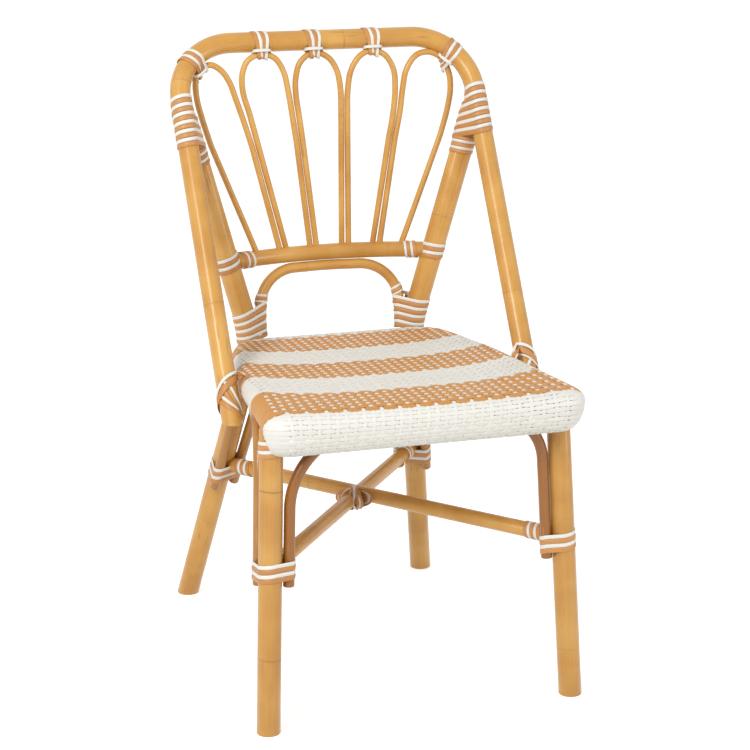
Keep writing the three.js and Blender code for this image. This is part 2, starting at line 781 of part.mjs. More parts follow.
// Seat rails
sides.forEach(({ name, side }) => {
  sideRailBody[name] = pole(sideRailLine(side), seatRailRadius, poleSides);
  place(`seat_side_rail_${name}`, cut(sideRailBody[name], ...screwHoles), cane);
});
place("seat_front_rail", pole(frontRailLine, seatRailRadius, poleSides), cane);
place("seat_rear_rail", pole(rearRailLine, seatRailRadius, poleSides), cane);
const railCopes = sides.flatMap(({ side }) => [
  pole(sideRailLine(side), seatRailRadius + clearance, poleSides),
  bore(frontLegLine(side), frontLegRadius, poleSides),
]);
place("seat_cross_rail", cut(pole(crossRailLine, crossRailRadius, rodSides), ...railCopes), cane);

// Woven seat: a skin drawn tight over the rails, rolled round them and open underneath.
const noseDepth = 27.2;
const noseDrop = 42.5;
const seatDip = 3;
const rollSteps = 6;
const seatRings = [0.72, 0.4];
const seatTopZ = seatRailZ + skinRoll;
const skinThickness = skinRoll - (seatRailRadius + clearance) / Math.cos(Math.PI / (2 * rollSteps));

function seatOutline() {
  const right = sideRailLine(1);
  const left = sideRailLine(-1).reverse();
  return [...right, ...left];
}

function seatSkin() {
  const outline = seatOutline();
  const count = outline.length;
  const normals = outline.map((point, i) => {
    const before = outline[(i + count - 1) % count];
    const after = outline[(i + 1) % count];
    const along = after.clone().sub(before).normalize();
    return at(along.y, -along.x, 0);
  });
  function rollRing(angle, inset) {
    return outline.map((point, i) => {
      const share = THREE.MathUtils.smoothstep(-normals[i].y, 0, 0.6);
      const out = THREE.MathUtils.lerp(skinRoll, noseDepth, share) - inset;
      const below = THREE.MathUtils.lerp(skinRoll, noseDrop, share) - inset;
      const height = angle < 0 ? below : skinRoll - inset;
      const ring = point.clone().addScaledVector(normals[i], out * Math.cos(angle));
      ring.z += height * Math.sin(angle);
      return ring;
    });
  }
  function topRing(share, inset) {
    const rim = rollRing(Math.PI / 2, inset);
    const middle = at(0, (seatFrontY + seatRearY) / 2, seatTopZ - inset);
    return rim.map((point) => {
      const ring = middle.clone().lerp(point, share);
      ring.z -= seatDip * (1 - share * share);
      return ring;
    });
  }
  const outer = [];
  const inner = [];
  for (let i = 0; i <= rollSteps; i += 1) {
    const angle = -Math.PI / 2 + (Math.PI * i) / rollSteps;
    outer.push(rollRing(angle, 0));
    inner.push(rollRing(angle, skinThickness));
  }
  seatRings.forEach((share) => {
    outer.push(topRing(share, 0));
    inner.push(topRing(share, skinThickness));
  });
  return closedSurface([...inner.reverse(), ...outer], count);
}

const hoopTieWindings = {};
sides.forEach(({ name, side }) => {
  const line = sided([hoopPoint(hoopFootX, 0), hoopPoint(hoopShoulderX, hoopHeight)], side);
  const rise = line[1].clone().sub(line[0]).normalize();
  hoopTieWindings[name] = {
    bundle: [{ stations: line, radius: hoopRadius }],
    start: line[0].clone().addScaledVector(rise, hoopFootTieLow),
    end: line[0].clone().addScaledVector(rise, hoopFootTieHigh),
    turns: 3,
  };
});

function legTopTie(side) {
  const low = atHeight(frontLegFoot, frontLegTop, legTopTieZ);
  const high = atHeight(frontLegFoot, frontLegTop, legTopTieTopZ);
  const [start, end] = sided([low, high], side);
  const bundle = [{ stations: sided([frontLegFoot, frontLegTop], side), radius: frontLegRadius }];
  return { bundle, start, end, turns: 2 };
}

const seatCutters = [hoopCutter, ...screwHoles.slice(0, 4)];
sides.forEach(({ name, side }) => {
  seatCutters.push(sleeve(hoopTieWindings[name]));
  seatCutters.push(sleeve(legTopTie(side)));
  seatCutters.push(pole(frontLegLine(side), frontLegRadius + clearance, poleSides));
  seatCutters.push(pole(postLine(side), backPostRadius + clearance, poleSides));
});
place("seat_weave", cut(seatSkin(), ...seatCutters), weave);

// Back rail, with its ends against the post lashings and drilled for the loops
const railTools = sides.map(({ side }) => sleeve(backRailPostTie(side)));
const loopLines = [];
loopHeadShares.forEach((headShares, i) => loopLines.push(loopLine(headShares, loopFootShares[i])));
const loopHoles = loopLines.map((line) => {
  const down = at(0, 0, -clearance);
  const left = bore([line[0].clone().add(down), line[1]], petalRadius, petalSides);
  const last = line.length - 1;
  const right = bore([line[last].clone().add(down), line[last - 1]], petalRadius, petalSides);
  return join(left, right);
});
place("back_rail", cut(pole(backRailLine, backRailRadius, rodSides), ...railTools, ...loopHoles), cane);
loopLines.forEach((line, i) => {
  place(`back_loop_${i + 1}`, cut(pole(line, petalRadius, petalSides), hoopCutter), cane);
});

// Arches
const backRailCutter = bore(backRailLine, backRailRadius, rodSides);
place("back_arch", cut(pole(backArchLine(), archRadius, rodSides), backRailCutter), cane);
place("front_arch", pole(frontArchLine(), archRadius, rodSides), cane);
place("rear_arch", pole(rearArchLine(), archRadius, rodSides), cane);
sides.forEach(({ name, side }) => {
  place(`side_arch_${name}`, pole(sideArchLine(side), archRadius, rodSides), cane);
});

// Stretchers, halved at the crossing and ending against the leg lashings
const stretchers = { left: stretcherLine(-1), right: stretcherLine(1) };
const crossPoint = between(stretchers.right[0], stretchers.right[1], stretcherShare);
const stretcherEnds = sides.flatMap(({ side }) => [
  sleeve(legTie(side)),
  sleeve(rearLegTie(side)),
  bore(sided([frontLegFoot, frontLegTop], side), frontLegRadius, poleSides),
  bore(sided([rearLegFoot, postFoot], side), backPostRadius, poleSides),
  bore(sideArchLine(side), archRadius, rodSides),
]);
stretcherEnds.push(bore(frontArchLine(), archRadius, rodSides), bore(rearArchLine(), archRadius, rodSides));
sides.forEach(({ name }) => {
  const other = name === "left" ? "right" : "left";
  const above = name === "left" ? 1 : -1;
  const tool = common(
    bore(stretchers[other], stretcherRadius, poleSides),
    halfSpace(crossPoint.z - (above * clearance) / 2, above),
  );
  const body = pole(stretchers[name], stretcherRadius, poleSides);
  place(`stretcher_from_rear_${name}`, cut(body, tool, ...stretcherEnds), cane);
});

// Lashings
sides.forEach(({ name, side }) => {
  lashing(`front_leg_lashing_${name}`, legTie(side));
  lashing(`rear_leg_lashing_${name}`, rearLegTie(side));
  lashing(`back_rail_post_lashing_${name}`, backRailPostTie(side));
  lashing(`hoop_foot_lashing_${name}`, hoopTieWindings[name]);
  lashing(`leg_top_lashing_${name}`, legTopTie(side));
  const line = stretchers[name];
  const back = [line[1], line[0]];
  lashing(`rear_stretcher_lashing_${name}`, stretcherTie(line, railTieInset + stretcherRadius));
  lashing(`front_stretcher_lashing_${name === "left" ? "right" : "left"}`, stretcherTie(back, railTieInset + stretcherRadius));
  const railInset = backPostRadius + 2 * (clearance + stripThickness) + railTieHalf + railTieGap;
  const railEnds = [railInset + railTieHalf, railInset - railTieHalf];
  const [start, end] = railEnds.map((inset) => backRailPoint((backRailEnd.x - inset) * side));
  lashing(`back_rail_end_lashing_${name}`, {
    bundle: [{ stations: backRailLine, radius: backRailRadius }],
    start,
    end,
    turns: 2,
  });
  const post = sided([postFoot, postHead], side);
  lashing(`post_foot_lashing_${name}`, {
    bundle: [
      { stations: postLine(side), radius: backPostRadius + clearance },
      { stations: backArchLine(), radius: archRadius + bendRoom },
    ],
    start: atHeight(post[0], post[1], postFootTieZ),
    end: atHeight(post[0], post[1], postFootTieTopZ),
    turns: 4,
  });
  lashing(`post_top_lashing_${name}`, {
    bundle: [{ stations: postLine(side), radius: backPostRadius }],
    start: atHeight(post[0], post[1], postTopTieLowZ),
    end: atHeight(post[0], post[1], postTopTieHighZ),
    turns: 2,
  });
  const inset = shoulderTieInset * side;
  lashing(`shoulder_lashing_${name}`, {
    bundle: [hoop, { stations: throughTop(postLine(side)), radius: backPostRadius + clearance }],
    start: hoopPoint(hoopShoulderX * side - inset, shoulderTieLow),
    end: hoopPoint(hoopShoulderX * side - inset, shoulderTieHigh),
    turns: 6,
  });
});
lashing("stretcher_cross_lashing", {
  bundle: sides.map(({ name }) => ({ stations: stretchers[name], radius: stretcherRadius })),
  start: at(crossPoint.x, crossPoint.y - crossTieHalf, crossPoint.z),
  end: at(crossPoint.x, crossPoint.y + crossTieHalf, crossPoint.z),
  turns: 2,
});
loopLines.forEach((line, i) => {
  const bundle = [hoop, { stations: line, radius: petalRadius + bendRoom }];
  const { centre, run } = hoopTop(loopTieShares[i] * hoopShoulderX);
  lashing(`loop_lashing_${i + 1}`, {
    bundle,
    start: centre.clone().addScaledVector(run, -loopTieHalf),
    end: centre.clone().addScaledVector(run, loopTieHalf),
    turns: 2,
  });
});

woundGaps.forEach(({ name, least }) => {
  console.log(`${name}: least gap between turns ${least.toFixed(2)} mm`);
});

// The part's origin is the middle of its footprint, on the floor.
const bounds = new THREE.Box3().setFromObject(chair);
chair.position.set(-(bounds.min.x + bounds.max.x) / 2, -(bounds.min.y + bounds.max.y) / 2, -bounds.min.z);
console.log("moved by", chair.position.toArray().map((v) => v.toFixed(3)).join(" "));

export default chair;
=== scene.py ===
import math
import random

import bpy
import numpy as np
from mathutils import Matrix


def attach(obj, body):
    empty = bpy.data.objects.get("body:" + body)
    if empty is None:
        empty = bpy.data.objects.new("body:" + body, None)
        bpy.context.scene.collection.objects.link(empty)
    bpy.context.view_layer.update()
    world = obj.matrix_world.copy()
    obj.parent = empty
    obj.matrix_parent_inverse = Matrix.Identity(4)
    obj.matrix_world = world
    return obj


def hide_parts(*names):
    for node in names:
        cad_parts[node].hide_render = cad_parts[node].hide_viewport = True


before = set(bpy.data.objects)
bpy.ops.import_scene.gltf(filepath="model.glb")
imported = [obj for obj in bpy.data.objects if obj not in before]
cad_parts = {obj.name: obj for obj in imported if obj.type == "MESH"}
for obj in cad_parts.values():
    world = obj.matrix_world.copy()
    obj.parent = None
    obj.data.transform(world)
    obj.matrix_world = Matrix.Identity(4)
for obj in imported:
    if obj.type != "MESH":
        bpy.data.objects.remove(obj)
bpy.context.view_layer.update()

# Studio floor and backdrop
# The chair stands on a plain white sweep. The sweep keeps the chair's soft shadow, and whatever
# looks past it sees plain white.
floor_reach = 14.0
floor_seen = (0.93, 0.93, 0.93, 1)
floor_bounced = (0.80, 0.79, 0.77, 1)
floor_lift = 0.48


def new_material(name):
    material = bpy.data.materials.new(name)
    material.use_nodes = True
    material.node_tree.nodes.clear()
    return material, material.node_tree


def node(tree, kind, settings=None, **wires):
    """Adds one node: settings are its own fields, wires fill its inputs with values or sockets."""
    made = tree.nodes.new(kind)
    for field, value in (settings or {}).items():
        setattr(made, field, value)
    for socket, value in wires.items():
        target = made.inputs[int(socket[1:]) if socket[1:].isdigit() else socket.replace("_", " ")]
        if isinstance(value, bpy.types.NodeSocket):
            tree.links.new(value, target)
        else:
            target.default_value = value
    return made


def seen_directly(tree):
    """One where the eye, a mirror or a clear piece looks straight at the surface, else nought."""
    path = node(tree, "ShaderNodeLightPath")
    rays = [path.outputs[name]
            for name in ("Is Camera Ray", "Is Glossy Ray", "Is Transmission Ray")]
    first = node(tree, "ShaderNodeMath", {"operation": "MAXIMUM"}, _0=rays[0], _1=rays[1])
    second = node(tree, "ShaderNodeMath", {"operation": "MAXIMUM"}, _0=first.outputs[0], _1=rays[2])
    return second.outputs[0]


def mixed(tree, share, first, second, blend_type="MIX"):
    made = node(tree, "ShaderNodeMix", {"data_type": "RGBA", "blend_type": blend_type}, _0=share,
                _6=first, _7=second)
    return made.outputs[2]


sweep_mesh = bpy.data.meshes.new("sweep")
sweep_mesh.from_pydata(
    [(-floor_reach, -floor_reach, 0), (floor_reach, -floor_reach, 0),
     (floor_reach, floor_reach, 0), (-floor_reach, floor_reach, 0)],
    [], [(0, 1, 2, 3)])
sweep = bpy.data.objects.new("sweep", sweep_mesh)
bpy.context.collection.objects.link(sweep)
sweep_paint, tree = new_material("sweep paint")
sweep_colour = mixed(tree, seen_directly(tree), floor_bounced, floor_seen)
sweep_coat = node(tree, "ShaderNodeBsdfDiffuse", Color=sweep_colour)
lift = node(tree, "ShaderNodeMath", {"operation": "MULTIPLY"}, _0=seen_directly(tree),
            _1=floor_lift)
sweep_glow = node(tree, "ShaderNodeEmission", Color=(1, 1, 1, 1), Strength=lift.outputs[0])
sweep_sum = node(tree, "ShaderNodeAddShader", _0=sweep_coat.outputs[0], _1=sweep_glow.outputs[0])
node(tree, "ShaderNodeOutputMaterial", Surface=sweep_sum.outputs[0])
sweep_mesh.materials.append(sweep_paint)

# Studio light
# A tall soft box to the left of the camera, a weaker low one to the right that reaches under the
# seat, and white card all round.
world = bpy.data.worlds.new("white card")
bpy.context.scene.world = world
world.use_nodes = True
world.node_tree.nodes.clear()
card_strength = 0.66
card_seen_strength = 1.0
card = seen_directly(world.node_tree)
card_level = node(world.node_tree, "ShaderNodeMapRange", Value=card, To_Min=card_strength,
                  To_Max=card_seen_strength)
card_light = node(world.node_tree, "ShaderNodeBackground", Color=(1, 1, 1, 1),
                  Strength=card_level.outputs[0])
node(world.node_tree, "ShaderNodeOutputWorld", Surface=card_light.outputs[0])


def soft_box(name, place, aim, size, watts):
    lamp = bpy.data.lights.new(name, "AREA")
    lamp.shape = "RECTANGLE"
    lamp.size, lamp.size_y = size
    lamp.energy = watts
    box = bpy.data.objects.new(name, lamp)
    bpy.context.collection.objects.link(box)
    box.location = place
    sight = np.array(aim) - np.array(place)
    flat = math.hypot(sight[0], sight[1])
    box.rotation_euler = (math.atan2(flat, -sight[2]), 0, math.atan2(-sight[0], sight[1]))


soft_box("left soft box", (-2.25, -2.25, 2.6), (0, 0, 0.5), (0.75, 2.1), 80)
soft_box("right soft box", (2.6, -2.2, 1.1), (0, 0, 0.35), (0.8, 1.6), 20)

# Camera
# It stands where the photograph was taken from: in front of the chair, a little to its left, and
# above the seat.
camera_place = (-0.95343, -2.98314, 1.2360)
camera_fall, camera_roll, camera_turn = 14.638, 0.03, -18.107
camera = bpy.data.objects.new("camera", bpy.data.cameras.new("camera"))
bpy.context.collection.objects.link(camera)
camera.data.sensor_fit = "HORIZONTAL"
camera.data.sensor_width = 36
camera.data.lens = 106.33
camera.data.clip_end = 60
camera.location = camera_place
camera.rotation_euler = [math.radians(angle)
                         for angle in (90 - camera_fall, camera_roll, camera_turn)]
bpy.context.scene.camera = camera
bpy.context.scene.view_settings.view_transform = "Standard"

# Back posts
# Each rear leg and back post is one length of peeled cane pole, steamed and bent where it passes
# the corner of the seat. The cane is sanded, stained honey and lacquered; its joint scars stay.
# All sizes below are millimetres about the middle of the chair, with z up from the floor.
middle_of_chair = np.array([0.971, 0.364, 0])
bend_step = math.radians(4)
fit = 0.3
seat_rail_z = 436.2
hoop_foot = np.array([223.5, -110.6, seat_rail_z - 40.4])
hoop_top_y, hoop_top_z, hoop_shoulder_x = 192.8, 885.6, 227.2
hoop_r, back_post_r, front_leg_r = 15, 16.75, 16.5
rear_foot = np.array([197.6, 299.8, 0])
post_bend = np.array([123.5, 149.5, seat_rail_z])
post_top_z = 783
post_top_share = (post_top_z - hoop_foot[2]) / (hoop_top_z - hoop_foot[2])
post_top_x, behind_hoop = 222.6, 9.65
post_top_y = hoop_foot[1] + (hoop_top_y - hoop_foot[1]) * post_top_share + behind_hoop
post_top = np.array([post_top_x, post_top_y, post_top_z])
post_bend_r = 190


def in_frame(points):
    return (np.asarray(points, float) + middle_of_chair) / 1000


def unit(vector):
    vector = np.asarray(vector, float)
    return vector / np.linalg.norm(vector)


def mirrored(points, side):
    return np.asarray(points, float) * (side, 1, 1)


def at_height(a, b, z):
    return a + (b - a) * ((z - a[2]) / (b[2] - a[2]))


def bent(corners, radii):
    """A centre line along straight runs, with each corner rounded to its radius in small steps."""
    corners = [np.asarray(corner, float) for corner in corners]
    line = [corners[0]]
    for i, radius in enumerate(radii, 1):
        back, ahead = unit(corners[i - 1] - corners[i]), unit(corners[i + 1] - corners[i])
        turn = math.pi - math.acos(np.clip(back @ ahead, -1, 1))
        centre = corners[i] + unit(back + ahead) * radius / math.cos(turn / 2)
        arm = corners[i] + back * radius * math.tan(turn / 2) - centre
        side_arm = unit(-back) * radius
        steps = max(2, math.ceil(turn / bend_step))
        for k in range(steps + 1):
            angle = turn * k / steps
            line.append(centre + arm * math.cos(angle) + side_arm * math.sin(angle))
    line.append(corners[-1])
    return np.array(line)


def lengths_along(line):
    return np.concatenate([[0], np.cumsum(np.linalg.norm(np.diff(line, axis=0), axis=1))])


def along(line, where):
    marks = lengths_along(line)
    return np.stack([np.interp(where, marks, line[:, i]) for i in range(3)], axis=-1)


def section_axes(line):
    """Directions along and across a centre line, carried along without twisting."""
    forward = np.gradient(line, axis=0)
    forward /= np.linalg.norm(forward, axis=1)[:, None]
    first = np.cross(forward[0], (0, 1, 0) if abs(forward[0][2]) > 0.5 else (0, 0, 1))
    across = [unit(first)]
    for direction in forward[1:]:
        carried = across[-1] - direction * (across[-1] @ direction)
        across.append(unit(carried))
    across = np.array(across)
    return forward, across, np.cross(forward, across)


def distance_to(points, line):
    starts, runs = line[:-1], np.diff(line, axis=0)
    spans = (runs ** 2).sum(axis=1)
    offsets = points[:, None, :] - starts[None]
    shares = np.clip((offsets * runs[None]).sum(axis=2) / spans, 0, 1)
    return np.linalg.norm(offsets - shares[..., None] * runs[None], axis=2).min(axis=1)


def mesh_piece(name, points, faces, material, numbers=None, vectors=None, face_materials=None):
    """A smooth-shaded piece in the frame, with its numbers and places kept for its material."""
    mesh = bpy.data.meshes.new(name)
    mesh.from_pydata(in_frame(points).tolist(), [], faces)
    for kept, values in (numbers or {}).items():
        flat = np.asarray(values, np.float32)
        mesh.attributes.new(kept, "FLOAT", "POINT").data.foreach_set("value", flat)
    for kept, values in (vectors or {}).items():
        flat = np.asarray(values, np.float32).ravel()
        mesh.attributes.new(kept, "FLOAT_VECTOR", "POINT").data.foreach_set("vector", flat)
    mesh.polygons.foreach_set("use_smooth", [True] * len(mesh.polygons))
    for paint in material if isinstance(material, list) else [material]:
        mesh.materials.append(paint)
    if face_materials is not None:
        mesh.polygons.foreach_set("material_index", face_materials)
    piece = bpy.data.objects.new(name, mesh)
    bpy.context.collection.objects.link(piece)
    return piece


scar_profile = ((-4.5, 0, 0), (-2.2, 0.14, 0), (-1.1, 0.34, 0.35), (-0.35, 0.05, 1),
                (0.35, 0.02, 1), (1.0, 0.22, 0.3), (2.4, 0.1, 0), (5, 0, 0))
scar_clear, scar_lean, faint_swell = 5.5, 0.9, 0.4
waist_depth, waist_length = 0.12, 47
cut_clear, cope_reach, cope_step = 40, 36, 0.2
end_round, lip_share, cap_hole = 1.4, 0.3, 0.02
swell_even, swell_uneven = 0.8, 0.2
dark_even, dark_uneven, dark_wave = 0.62, 0.38, 9
any_turn, any_grain = 6.28, 5
scar_dice = random.Random(7)


def pole_mesh(name, line, radius, scars, ends=("round", "round"), blockers=((), ()), sides=30,
              piece_shade=0.0, paring=0):
    """A cane pole as a closed tube. An end is round, cut level at a height, or coped to fit its
    blockers. A scar is its place along the pole and how strongly it shows. Paring flattens both
    ends, over that length, on the side towards the middle of the chair."""
    length = lengths_along(line)[-1]
    places = [(mark, 0, 0) for mark in lengths_along(line)[1:-1]]
    for scar, strength in scars:
        places = [p for p in places if abs(p[0] - scar) > scar_clear]
        places += [(scar + step, swell * (faint_swell + (1 - faint_swell) * strength),
                    dark * strength)
                   for step, swell, dark in scar_profile]
    clear = [cut_clear if blockers[i] or not isinstance(ends[i], str) else 3 * end_round
             for i in (0, 1)]
    places = [p for p in places if clear[0] < p[0] < length - clear[1]]
    places = sorted([(0, 0, 0), (length, 0, 0)] + places)
    marks = np.array([p[0] for p in places])
    centres = along(line, marks)
    forward, across, beside = section_axes(centres)
    turns = np.linspace(0, 2 * math.pi, sides, endpoint=False)
    wobble = scar_dice.uniform(0, any_turn)
    swell = np.array([p[1] for p in places])
    dark = np.array([p[2] for p in places])
    lean = np.where(swell + dark > 0, scar_lean, 0)[:, None] * np.cos(turns + wobble)[None]
    girth = radius + swell[:, None] * (swell_even + swell_uneven * np.cos(2 * turns + wobble))[None]
    girth = girth - waist_depth * (0.5 + 0.5 * np.sin(marks / waist_length + wobble))[:, None]
    outward = (across[:, None] * np.cos(turns)[None, :, None]
               + beside[:, None] * np.sin(turns)[None, :, None])
    rings = centres[:, None] + outward * girth[..., None] + forward[:, None] * lean[..., None]
    for i in range(len(rings)) if paring else ():
        pared = max(0, 1 - min(marks[i], length - marks[i]) / paring) * foot_pared
        inwards = (centres[i] - rings[i]) * pared / radius
        rings[i] += inwards + (np.sign(centres[i][0]) * pared, 0, 0)
    for end, blocked in ((0, blockers[0]), (-1, blockers[1])):
        way = forward[end] * (-1 if end == 0 else 1)
        if not isinstance(ends[end], str):
            rings[end] += way * ((ends[end] - rings[end][:, 2]) / way[2])[:, None]
        if blocked:
            steps = np.arange(0, cope_reach, cope_step)
            tries = rings[end][:, None] - way * steps[None, :, None]
            free = np.ones(tries.shape[:2], bool)
            for other, other_r in blocked:
                gaps = distance_to(tries.reshape(-1, 3), other).reshape(free.shape)
                free &= gaps > other_r + fit
            rings[end] -= way * steps[np.argmax(free, axis=1)][:, None]
    flat_marks = np.repeat(marks[:, None], sides, axis=1)
    lie = np.sin(turns + marks[:, None] / dark_wave + wobble)
    flat_dark = dark[:, None] * (dark_even + dark_uneven * lie)
    caps = []
    for end, order in ((0, 1), (-1, -1)):
        middle = rings[end].mean(axis=0)
        spokes = unit_rows(rings[end] - middle)
        way = forward[end] * order
        inner = rings[end] - spokes * end_round
        lip = rings[end] - spokes * end_round * lip_share + way * end_round * lip_share
        deep = rings[end] + way * end_round
        cap = [middle + spokes * cap_hole * radius, middle + (inner - middle) * 0.5,
               inner, lip, deep]
        caps.append(cap[::order])
    rows = caps[0] + list(rings[1:-1]) + caps[1]
    added = len(caps[0]) - 1
    row_marks, row_dark = (np.pad(flat, ((added, added), (0, 0)), "edge")
                           for flat in (flat_marks, flat_dark))
    points = np.array(rows).reshape(-1, 3)
    faces = tube_faces(len(rows), sides)
    straight = np.stack([np.tile(radius * np.cos(turns), len(rows)),
                         np.tile(radius * np.sin(turns), len(rows)),
                         row_marks.ravel()], axis=1) / 1000
    straight[:, :2] += scar_dice.uniform(0, any_grain)
    # Each pole keeps its share of painted shade, the darker brown that darkens poles under and
    # behind the seat.
    piece = mesh_piece(name, points, faces, cane_lacquer,
                       {"joint_scar": row_dark.ravel(), "painted_shade_depth": np.full(len(points), piece_shade)},
                       {"unbent_place": straight})
    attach(piece, "root")
    return piece


def unit_rows(rows):
    return rows / np.linalg.norm(rows, axis=-1, keepdims=True)


def tube_faces(rings, sides, first=0):
    """Quads between rings of points counted from the first, and a flat cap on each end ring."""
    i, k = np.meshgrid(np.arange(rings - 1), np.arange(sides), indexing="ij")
    a, b = first + i * sides + k, first + i * sides + (k + 1) % sides
    quads = np.stack([a, b, b + sides, a + sides], axis=-1).reshape(-1, 4).tolist()
    last = first + (rings - 1) * sides
    return quads + [[first + n for n in range(sides)][::-1], [last + n for n in range(sides)]]


def group_with(name, inputs, outputs):
    group = bpy.data.node_groups.new(name, "ShaderNodeTree")
    for label, kind in inputs:
        group.interface.new_socket(name=label, in_out="INPUT", socket_type=kind)
    for label, kind in outputs:
        group.interface.new_socket(name=label, in_out="OUTPUT", socket_type=kind)
    return group, node(group, "NodeGroupInput"), node(group, "NodeGroupOutput")


fleck_shape, fleck_from, fleck_full = (0.45, 0.45, 3.2), 0.65, 0.78


def long_grain_group():
    """Fibres and short flecks, drawn out along a pole or strip, and a slow tone drift."""
    group, given, result = group_with(
        "long grain",
        [("Place", "NodeSocketVector"), ("Fibres Across", "NodeSocketFloat"),
         ("Fibres Along", "NodeSocketFloat")],
        [("Fibre", "NodeSocketFloat"), ("Drift", "NodeSocketFloat"), ("Fleck", "NodeSocketFloat")])
    scale = node(group, "ShaderNodeCombineXYZ", X=given.outputs[1], Y=given.outputs[1],
                 Z=given.outputs[2])
    drawn = node(group, "ShaderNodeVectorMath", {"operation": "MULTIPLY"}, _0=given.outputs[0],
                 _1=scale.outputs[0])
    fibre = node(group, "ShaderNodeTexNoise", Vector=drawn.outputs[0], Scale=1.0, Detail=3.0,
                 Roughness=0.6)
    drift = node(group, "ShaderNodeTexNoise", Vector=given.outputs[0], Scale=16.0, Detail=2.0)
    short = node(group, "ShaderNodeVectorMath", {"operation": "MULTIPLY"}, _0=drawn.outputs[0],
                 _1=fleck_shape)
    fleck = node(group, "ShaderNodeTexNoise", Vector=short.outputs[0], Scale=1.0, Detail=1.0)
    sharp = node(group, "ShaderNodeMapRange", {"interpolation_type": "SMOOTHSTEP"},
                 Value=fleck.outputs[0], From_Min=fleck_from, From_Max=fleck_full)
    for i, source in enumerate((fibre.outputs[0], drift.outputs[0], sharp.outputs[0])):
        group.links.new(source, result.inputs[i])
    return group


long_grain = long_grain_group()


def placed_grain(tree, kept, across, lengthwise):
    place = node(tree, "ShaderNodeAttribute", {"attribute_name": kept})
    return node(tree, "ShaderNodeGroup", {"node_tree": long_grain}, Place=place.outputs["Vector"],
                Fibres_Across=across, Fibres_Along=lengthwise)


def ramp(tree, factor, stops):
    made = node(tree, "ShaderNodeValToRGB", Fac=factor)
    for i, (place, colour) in enumerate(stops):
        stop = made.color_ramp.elements[i] if i < 2 else made.color_ramp.elements.new(place)
        stop.position, stop.color = place, colour
    return made.outputs[0]


honey_deep, honey_even = (0.555, 0.268, 0.048, 1), (0.635, 0.332, 0.068, 1)
honey_pale, streak_strength = (0.71, 0.40, 0.098, 1), 0.55
# The first brown below is painted shade: it is mixed into whole poles that lie under and behind the
# seat to darken them.
shade_brown, streak_shade = (0.30, 0.108, 0.014, 1), (0.88, 0.80, 0.66, 1)
fleck_brown, scar_brown = (0.49, 0.232, 0.05, 1), (0.20, 0.075, 0.018, 1)


def fibre_skin(tree, grain, colour, gloss_range, ridge_strength, ridge_height, **surface):
    """The shader of a fibrous skin: its gloss and its fine ridges follow the fibres."""
    fibre = grain.outputs["Fibre"]
    gloss = node(tree, "ShaderNodeMapRange", Value=fibre, To_Min=gloss_range[1],
                 To_Max=gloss_range[0])
    ridge = node(tree, "ShaderNodeBump", Strength=ridge_strength, Distance=ridge_height,
                 Height=fibre)
    skin = node(tree, "ShaderNodeBsdfPrincipled", Base_Color=colour, Roughness=gloss.outputs[0],
                Normal=ridge.outputs[0], **surface)
    node(tree, "ShaderNodeOutputMaterial", Surface=skin.outputs[0])


def cane_material():
    material, tree = new_material("lacquered cane")
    grain = placed_grain(tree, "unbent_place", 420.0, 7.0)
    honey = ramp(tree, grain.outputs["Drift"],
                 [(0.3, honey_deep), (0.72, honey_pale), (0.5, honey_even)])
    # Painted shade: each pole's own share mixes in a darker brown, so the poles under and behind
    # the seat come out darker.
    piece_shade = node(tree, "ShaderNodeAttribute", {"attribute_name": "painted_shade_depth"})
    darkened = mixed(tree, piece_shade.outputs["Fac"], honey, shade_brown)
    streak = ramp(tree, grain.outputs["Fibre"], [(0.3, streak_shade), (0.7, (1, 1, 1, 1))])
    streaked = mixed(tree, streak_strength, darkened, streak, "MULTIPLY")
    flecked = mixed(tree, grain.outputs["Fleck"], streaked, fleck_brown)
    scar = node(tree, "ShaderNodeAttribute", {"attribute_name": "joint_scar"})
    scarred = mixed(tree, scar.outputs["Fac"], flecked, scar_brown)
    fibre_skin(tree, grain, scarred, (0.36, 0.46), 0.12, 0.0005, IOR=1.42, Coat_Weight=0.42,
               Coat_Roughness=0.19)
    return material


cane_lacquer = cane_material()


def hoop_point(x, rise):
    return np.array([x, hoop_foot[1], hoop_foot[2]]) + hoop_way * rise


hoop_way = unit((0, hoop_top_y - hoop_foot[1], hoop_top_z - hoop_foot[2]))
hoop_rise = math.hypot(hoop_top_y - hoop_foot[1], hoop_top_z - hoop_foot[2])
hoop_bend_r = 87
hoop_line = bent([hoop_point(-hoop_foot[0], 0), hoop_point(-hoop_shoulder_x, hoop_rise),
                  hoop_point(hoop_shoulder_x, hoop_rise), hoop_point(hoop_foot[0], 0)],
                  [hoop_bend_r] * 2)
both_sides = (("left", -1), ("right", 1))


def post_line(side):
    return bent(mirrored([rear_foot, post_bend, post_top], side), [post_bend_r])


post_scars = {"left": ((64, 0.25), (318, 0.3), (612, 0.35)),
              "right": ((150, 0.3), (402, 0.25), (655, 0.3))}
for hand, side in both_sides:
    post = pole_mesh(f"back_post_{hand}_cane", post_line(side), back_post_r, post_scars[hand],
                     (0, "coped"), ((), ((hoop_line, hoop_r),)))
    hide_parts(f"back_post_{hand}")

# Hoop
# One long cane pole, bent over in a leaning plane to frame the back. Its two feet run down past
# the seat and are screwed to the side rails.
hoop_scars = ((172, 0.75), (514.6, 0.6), (796, 0.7), (1085, 0.3), (1372, 0.25))
hoop_cut_z = hoop_foot[2] - 1.2
hoop_piece = pole_mesh("hoop_cane", hoop_line, hoop_r, hoop_scars, (hoop_cut_z, hoop_cut_z))
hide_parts("hoop")

